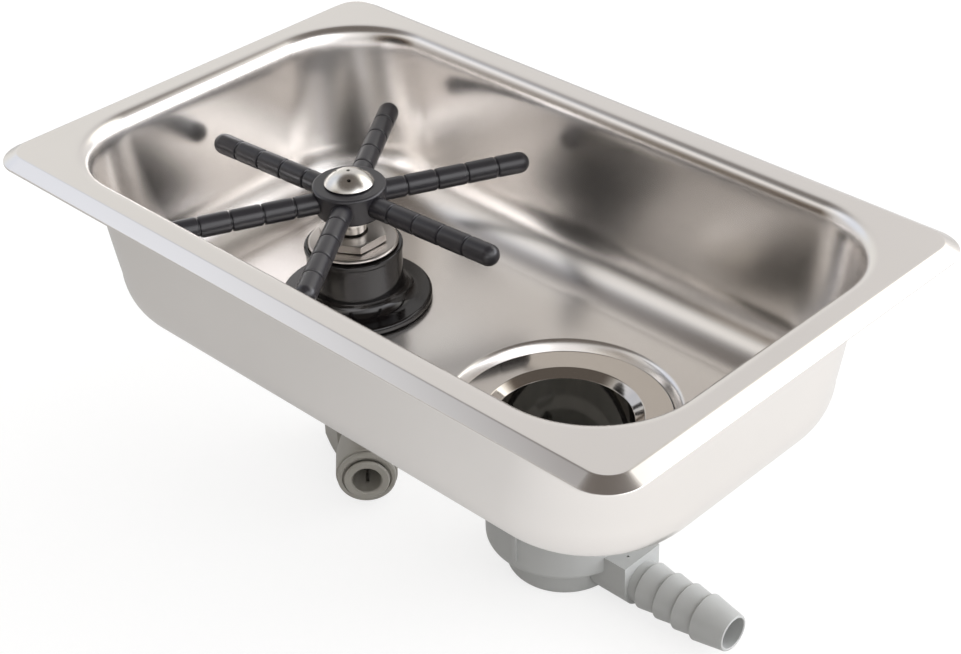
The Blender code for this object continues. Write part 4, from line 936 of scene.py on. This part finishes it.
# Drain
def make_flange(materials):
    """Steel waste: dished flange with a fine rim, rolled throat and a plain tail."""
    rim, rim_top, rim_crest, rim_foot = 0.0344, 0.0003, 0.0001, 0.0006
    under, dish = FLANGE_TOP_Z - 0.0010, 0.0024
    roll, roll_radius, roll_z = 0.0256, 0.0010, FLANGE_TOP_Z - 0.0012
    roll_end = QUARTER + math.radians(35)
    cone_foot, bore_top = FLANGE_TOP_Z - 0.0023, FLANGE_TOP_Z - 0.0024
    bore, tail, tail_foot, ease, lead = 0.0222, 0.0234, 0.0313, 0.0003, 0.0007
    outline = [(rim - rim_foot, under), (rim - rim_crest, FLANGE_TOP_Z - 2 * rim_crest),
               (rim - rim_top, FLANGE_TOP_Z)]
    outline += arc((roll, roll_z), roll_radius, QUARTER, roll_end, 10)
    outline += [(bore + 0.0001, cone_foot), (bore, bore_top), (bore, tail_foot + lead),
                (bore + ease, tail_foot), (tail - 0.0002, tail_foot), (tail, tail_foot + ease),
                (tail, under - dish)]
    waste = mesh_object("waste", lathe(outline, steps=240))
    dress(waste, "drain_flange", materials, at_drain(0.0))


def make_drain_rings(materials):
    """Gasket and nut that clamp the waste under the floor."""
    gasket = ring_outline(TAIL_HOLE, 0.0310, height=0.0020, rounding=0.0005)
    dress(mesh_object("waste_gasket", lathe(gasket, steps=96)), "lower_gasket", materials,
          at_drain(GASKET_Z))
    nut_height = 0.0075
    nut = nut_object("waste_nut", sides=8, flats=0.0630, height=nut_height, chamfer=0.0010,
                     turn=math.pi / 8)
    cut(nut, cylinder_tool(TAIL_HOLE, -OVERRUN, nut_height + 1.5 * OVERRUN, steps=128))
    dress(nut, "back_nut", materials, at_drain(BACK_NUT_Z), bevel=0.0004)


def outlet_matrix():
    return Matrix.Translation((0.0, 0.0, OUTLET_Z)) @ Matrix.Rotation(QUARTER, 4, "Y")


def tail_outline():
    """Section of the hose tail along its axis: bore and soft ridges that slope to the tip."""
    nose = 0.0062
    outline = [(OUTLET_BORE, TAIL_START), (TAIL_ROOT, TAIL_START)]
    for index in range(RIDGE_COUNT):
        crest = RIDGE_FIRST + RIDGE_PITCH * index
        outline += [(radius, crest + along) for along, radius in RIDGE_SECTION]
    outline += [(nose, TAIL_TIP - 0.0004), (nose - 0.0002, TAIL_TIP - 0.0001),
                (nose - 0.0005, TAIL_TIP)]
    return outline + [(OUTLET_BORE + 0.0002, TAIL_TIP), (OUTLET_BORE, TAIL_TIP - 0.0002)]


def block_shell():
    """Squared boss of the outlet: flat top and sides over a half-round underside."""
    bm = bmesh.new()
    half, top = 0.0083, 0.0096
    section = [(-top, half), (-top, -half)]
    for step in range(BLOCK_STEPS + 1):
        angle = -QUARTER + math.pi * step / BLOCK_STEPS
        section.append((half * math.cos(angle), half * math.sin(angle)))
    near = [bm.verts.new((x, y, BLOCK_START)) for x, y in section]
    far = [bm.verts.new((x, y, BLOCK_END)) for x, y in section]
    bm.faces.new(near)
    bm.faces.new(far)
    join_rings(bm, [near, far])
    bmesh.ops.transform(bm, matrix=outlet_matrix(), verts=bm.verts)
    return bm


def cup_outline():
    """Section of the drain body: sump and cup, with a wall inside and a funnel between them."""
    cup, sump, sump_top, step_z, top_z = CUP_RADIUS, SUMP_RADIUS, 0.0200, 0.0120, 0.0433
    foot_round, cove, cup_round, edge_round, bevel = 0.0028, 0.0010, 0.0020, 0.0005, 0.0003
    cup_inside, sump_inside, base, funnel, shoulder_z = 0.0210, 0.0174, 0.0022, 0.0058, 0.0289
    outline = [(0.0, 0.0)]
    outline += arc((sump - foot_round, foot_round), foot_round, -QUARTER, 0.0, 8)
    outline += arc((sump_top + cove, step_z - cove), cove, math.pi, QUARTER, 4)
    outline += arc((cup - cup_round, step_z + cup_round), cup_round, -QUARTER, 0.0, 8)
    outline += arc((cup - edge_round, top_z - edge_round), edge_round, 0.0, QUARTER, 3)
    outline += [(TAIL_HOLE + bevel, top_z), (TAIL_HOLE, top_z - bevel), (TAIL_HOLE, shoulder_z),
                (cup_inside, shoulder_z), (cup_inside, step_z + funnel),
                (sump_inside, step_z + base), (sump_inside, base), (0.0, base)]
    return outline


def make_drain_body(materials):
    """One moulding: wide cup, smaller sump, squared outlet and barbed tail."""
    past_cup, past_block, sump_low, sump_high = 0.0330, 0.0400, 0.0030, 0.0250
    place = outlet_matrix()
    body = mesh_object("drain_moulding", lathe(cup_outline(), steps=144))
    cut(body, cylinder_tool(OUTLET_BORE, 0.0, past_cup, place=place))
    block = mesh_object("block", block_shell())
    cut(block, cylinder_tool(OUTLET_BORE, 0.0, past_block, place=place))
    cut(block, cylinder_tool(SUMP_RADIUS, sump_low, sump_high))
    cut(block, mesh_object("tool", box_shell(DIMPLE_SIZE, Matrix.Translation(DIMPLE_PLACE))))
    join_into(body, block)
    join_into(body, mesh_object("tail", lathe(tail_outline(), 96, place)))
    out_to_cup = Matrix.Translation((CUP_RADIUS, 0.0, RIB_Z))
    ribs = [box_shell(RIB_SIZE, Matrix.Rotation(TURN * share, 4, "Z") @ out_to_cup)
            for share in RIB_TURNS]
    join_into(body, mesh_object("ribs", *ribs))
    dress(body, "drain_body", materials, at_drain(0.0), bevel=0.0003)


# Studio
def mix_colour(tree, factor, first, second):
    """Output socket of a colour mix: each colour is three numbers or a socket."""
    mix = tree.nodes.new("ShaderNodeMix")
    mix.data_type = "RGBA"
    tree.links.new(factor, mix.inputs["Factor"])
    for name, colour in (("A", first), ("B", second)):
        if isinstance(colour, tuple):
            mix.inputs[name].default_value = (*colour, 1.0)
        else:
            tree.links.new(colour, mix.inputs[name])
    return mix.outputs["Result"]


def vector_node(tree, operation, first, second):
    """Vector node with a first input from a socket, and a second one that may be numbers."""
    node = tree.nodes.new("ShaderNodeVectorMath")
    node.operation = operation
    tree.links.new(first, node.inputs[0])
    if isinstance(second, (tuple, Vector)):
        node.inputs[1].default_value = second
    else:
        tree.links.new(second, node.inputs[1])
    return node


def smooth_step(tree, value, start, end):
    node = tree.nodes.new("ShaderNodeMapRange")
    node.interpolation_type = "SMOOTHSTEP"
    node.inputs["From Min"].default_value = start
    node.inputs["From Max"].default_value = end
    tree.links.new(value, node.inputs["Value"])
    return node.outputs["Result"]


def direction(azimuth, elevation):
    """Unit vector from the basin, with angles in degrees from +X and from the horizon."""
    azimuth, elevation = math.radians(azimuth), math.radians(elevation)
    return Vector((math.cos(azimuth) * math.cos(elevation), math.sin(azimuth) * math.cos(elevation),
                   math.sin(elevation)))


def room_patch(tree, towards, azimuth, elevation, edge, radiance):
    """Light added round one direction, fading to nothing at its edge."""
    nearness = vector_node(tree, "DOT_PRODUCT", towards, direction(azimuth, elevation))
    share = smooth_step(tree, nearness.outputs["Value"], edge, 1.0)
    patch = tree.nodes.new("ShaderNodeVectorMath")
    patch.operation = "SCALE"
    patch.inputs[0].default_value = radiance
    tree.links.new(share, patch.inputs["Scale"])
    return patch.outputs["Vector"]


def make_floor():
    """Floor that is white to the camera, grey to other light, and glows in the steel's mirror."""
    mesh = bpy.data.meshes.new("floor")
    bm = bmesh.new()
    bmesh.ops.create_grid(bm, x_segments=1, y_segments=1, size=FLOOR_SIZE)
    bm.to_mesh(mesh)
    bm.free()
    floor = bpy.data.objects.new("floor", mesh)
    bpy.context.scene.collection.objects.link(floor)
    floor.location = (0.0, 0.0, -FLOOR_DROP)
    material, shader = new_material("floor_white", FLOOR_BOUNCE, FLOOR_ROUGHNESS, metallic=0.0)
    shader.inputs["Specular IOR Level"].default_value = 0.0
    path = add_node(material, "ShaderNodeLightPath")
    seen = path.outputs["Is Camera Ray"]
    shade = mix_colour(material.node_tree, seen, FLOOR_BOUNCE, FLOOR_SEEN)
    link(material, shade, shader.inputs["Base Color"])
    coordinates = add_node(material, "ShaderNodeTexCoord")
    split = add_node(material, "ShaderNodeSeparateXYZ")
    link(material, coordinates.outputs["Object"], split.inputs["Vector"])
    mirrored = span(material, split.outputs["X"], low=0.0, high=MIRRORED_GLOW,
                    start=MIRRORED_START, end=MIRRORED_FULL)
    glossy = calculate(material, "MULTIPLY", mirrored, path.outputs["Is Glossy Ray"])
    glow = calculate(material, "MULTIPLY", seen, FLOOR_GLOW)
    shader.inputs["Emission Color"].default_value = (*WHITE, 1.0)
    link(material, calculate(material, "ADD", glossy, glow), shader.inputs["Emission Strength"])
    mesh.materials.append(material)


def make_world():
    """White to the camera; for the part, a room of soft patches of light under a dark ceiling."""
    world = bpy.data.worlds.new("studio")
    world.use_nodes = True
    tree = world.node_tree
    coordinates = tree.nodes.new("ShaderNodeTexCoord")
    towards = coordinates.outputs["Generated"]
    split = tree.nodes.new("ShaderNodeSeparateXYZ")
    tree.links.new(towards, split.inputs["Vector"])
    walls = tree.nodes.new("ShaderNodeCombineXYZ")
    for axis, value in zip("XYZ", ROOM_GREY):
        walls.inputs[axis].default_value = value
    lit = walls.outputs["Vector"]
    for azimuth, elevation, edge, radiance in ROOM_PATCHES.values():
        patch = room_patch(tree, towards, azimuth, elevation, edge, radiance)
        lit = vector_node(tree, "ADD", lit, patch).outputs["Vector"]
    lit = vector_node(tree, "MAXIMUM", lit, (0.0, 0.0, 0.0)).outputs["Vector"]
    ceiling = smooth_step(tree, split.outputs["Z"], CEILING_STARTS, CEILING_FULL)
    path = tree.nodes.new("ShaderNodeLightPath")
    overhead = mix_colour(tree, path.outputs["Is Diffuse Ray"], CEILING_GREY, CEILING_LIGHT)
    room = mix_colour(tree, ceiling, lit, overhead)
    shown = mix_colour(tree, path.outputs["Is Camera Ray"], room, WHITE)
    background = tree.nodes["Background"]
    tree.links.new(shown, background.inputs["Color"])
    background.inputs["Strength"].default_value = 1.0
    bpy.context.scene.world = world


def main():
    make_camera()
    materials = make_materials()
    dress_nodes(materials)
    for make in (make_basin, make_boot, make_washer, make_bonnet, make_stem, make_star,
                 make_nozzle, make_floor_clamp, make_elbow, make_cap, make_collet, make_flange,
                 make_drain_rings, make_drain_body):
        make(materials)
    make_floor()
    make_world()
    bpy.context.scene.view_settings.view_transform = "Standard"


main()
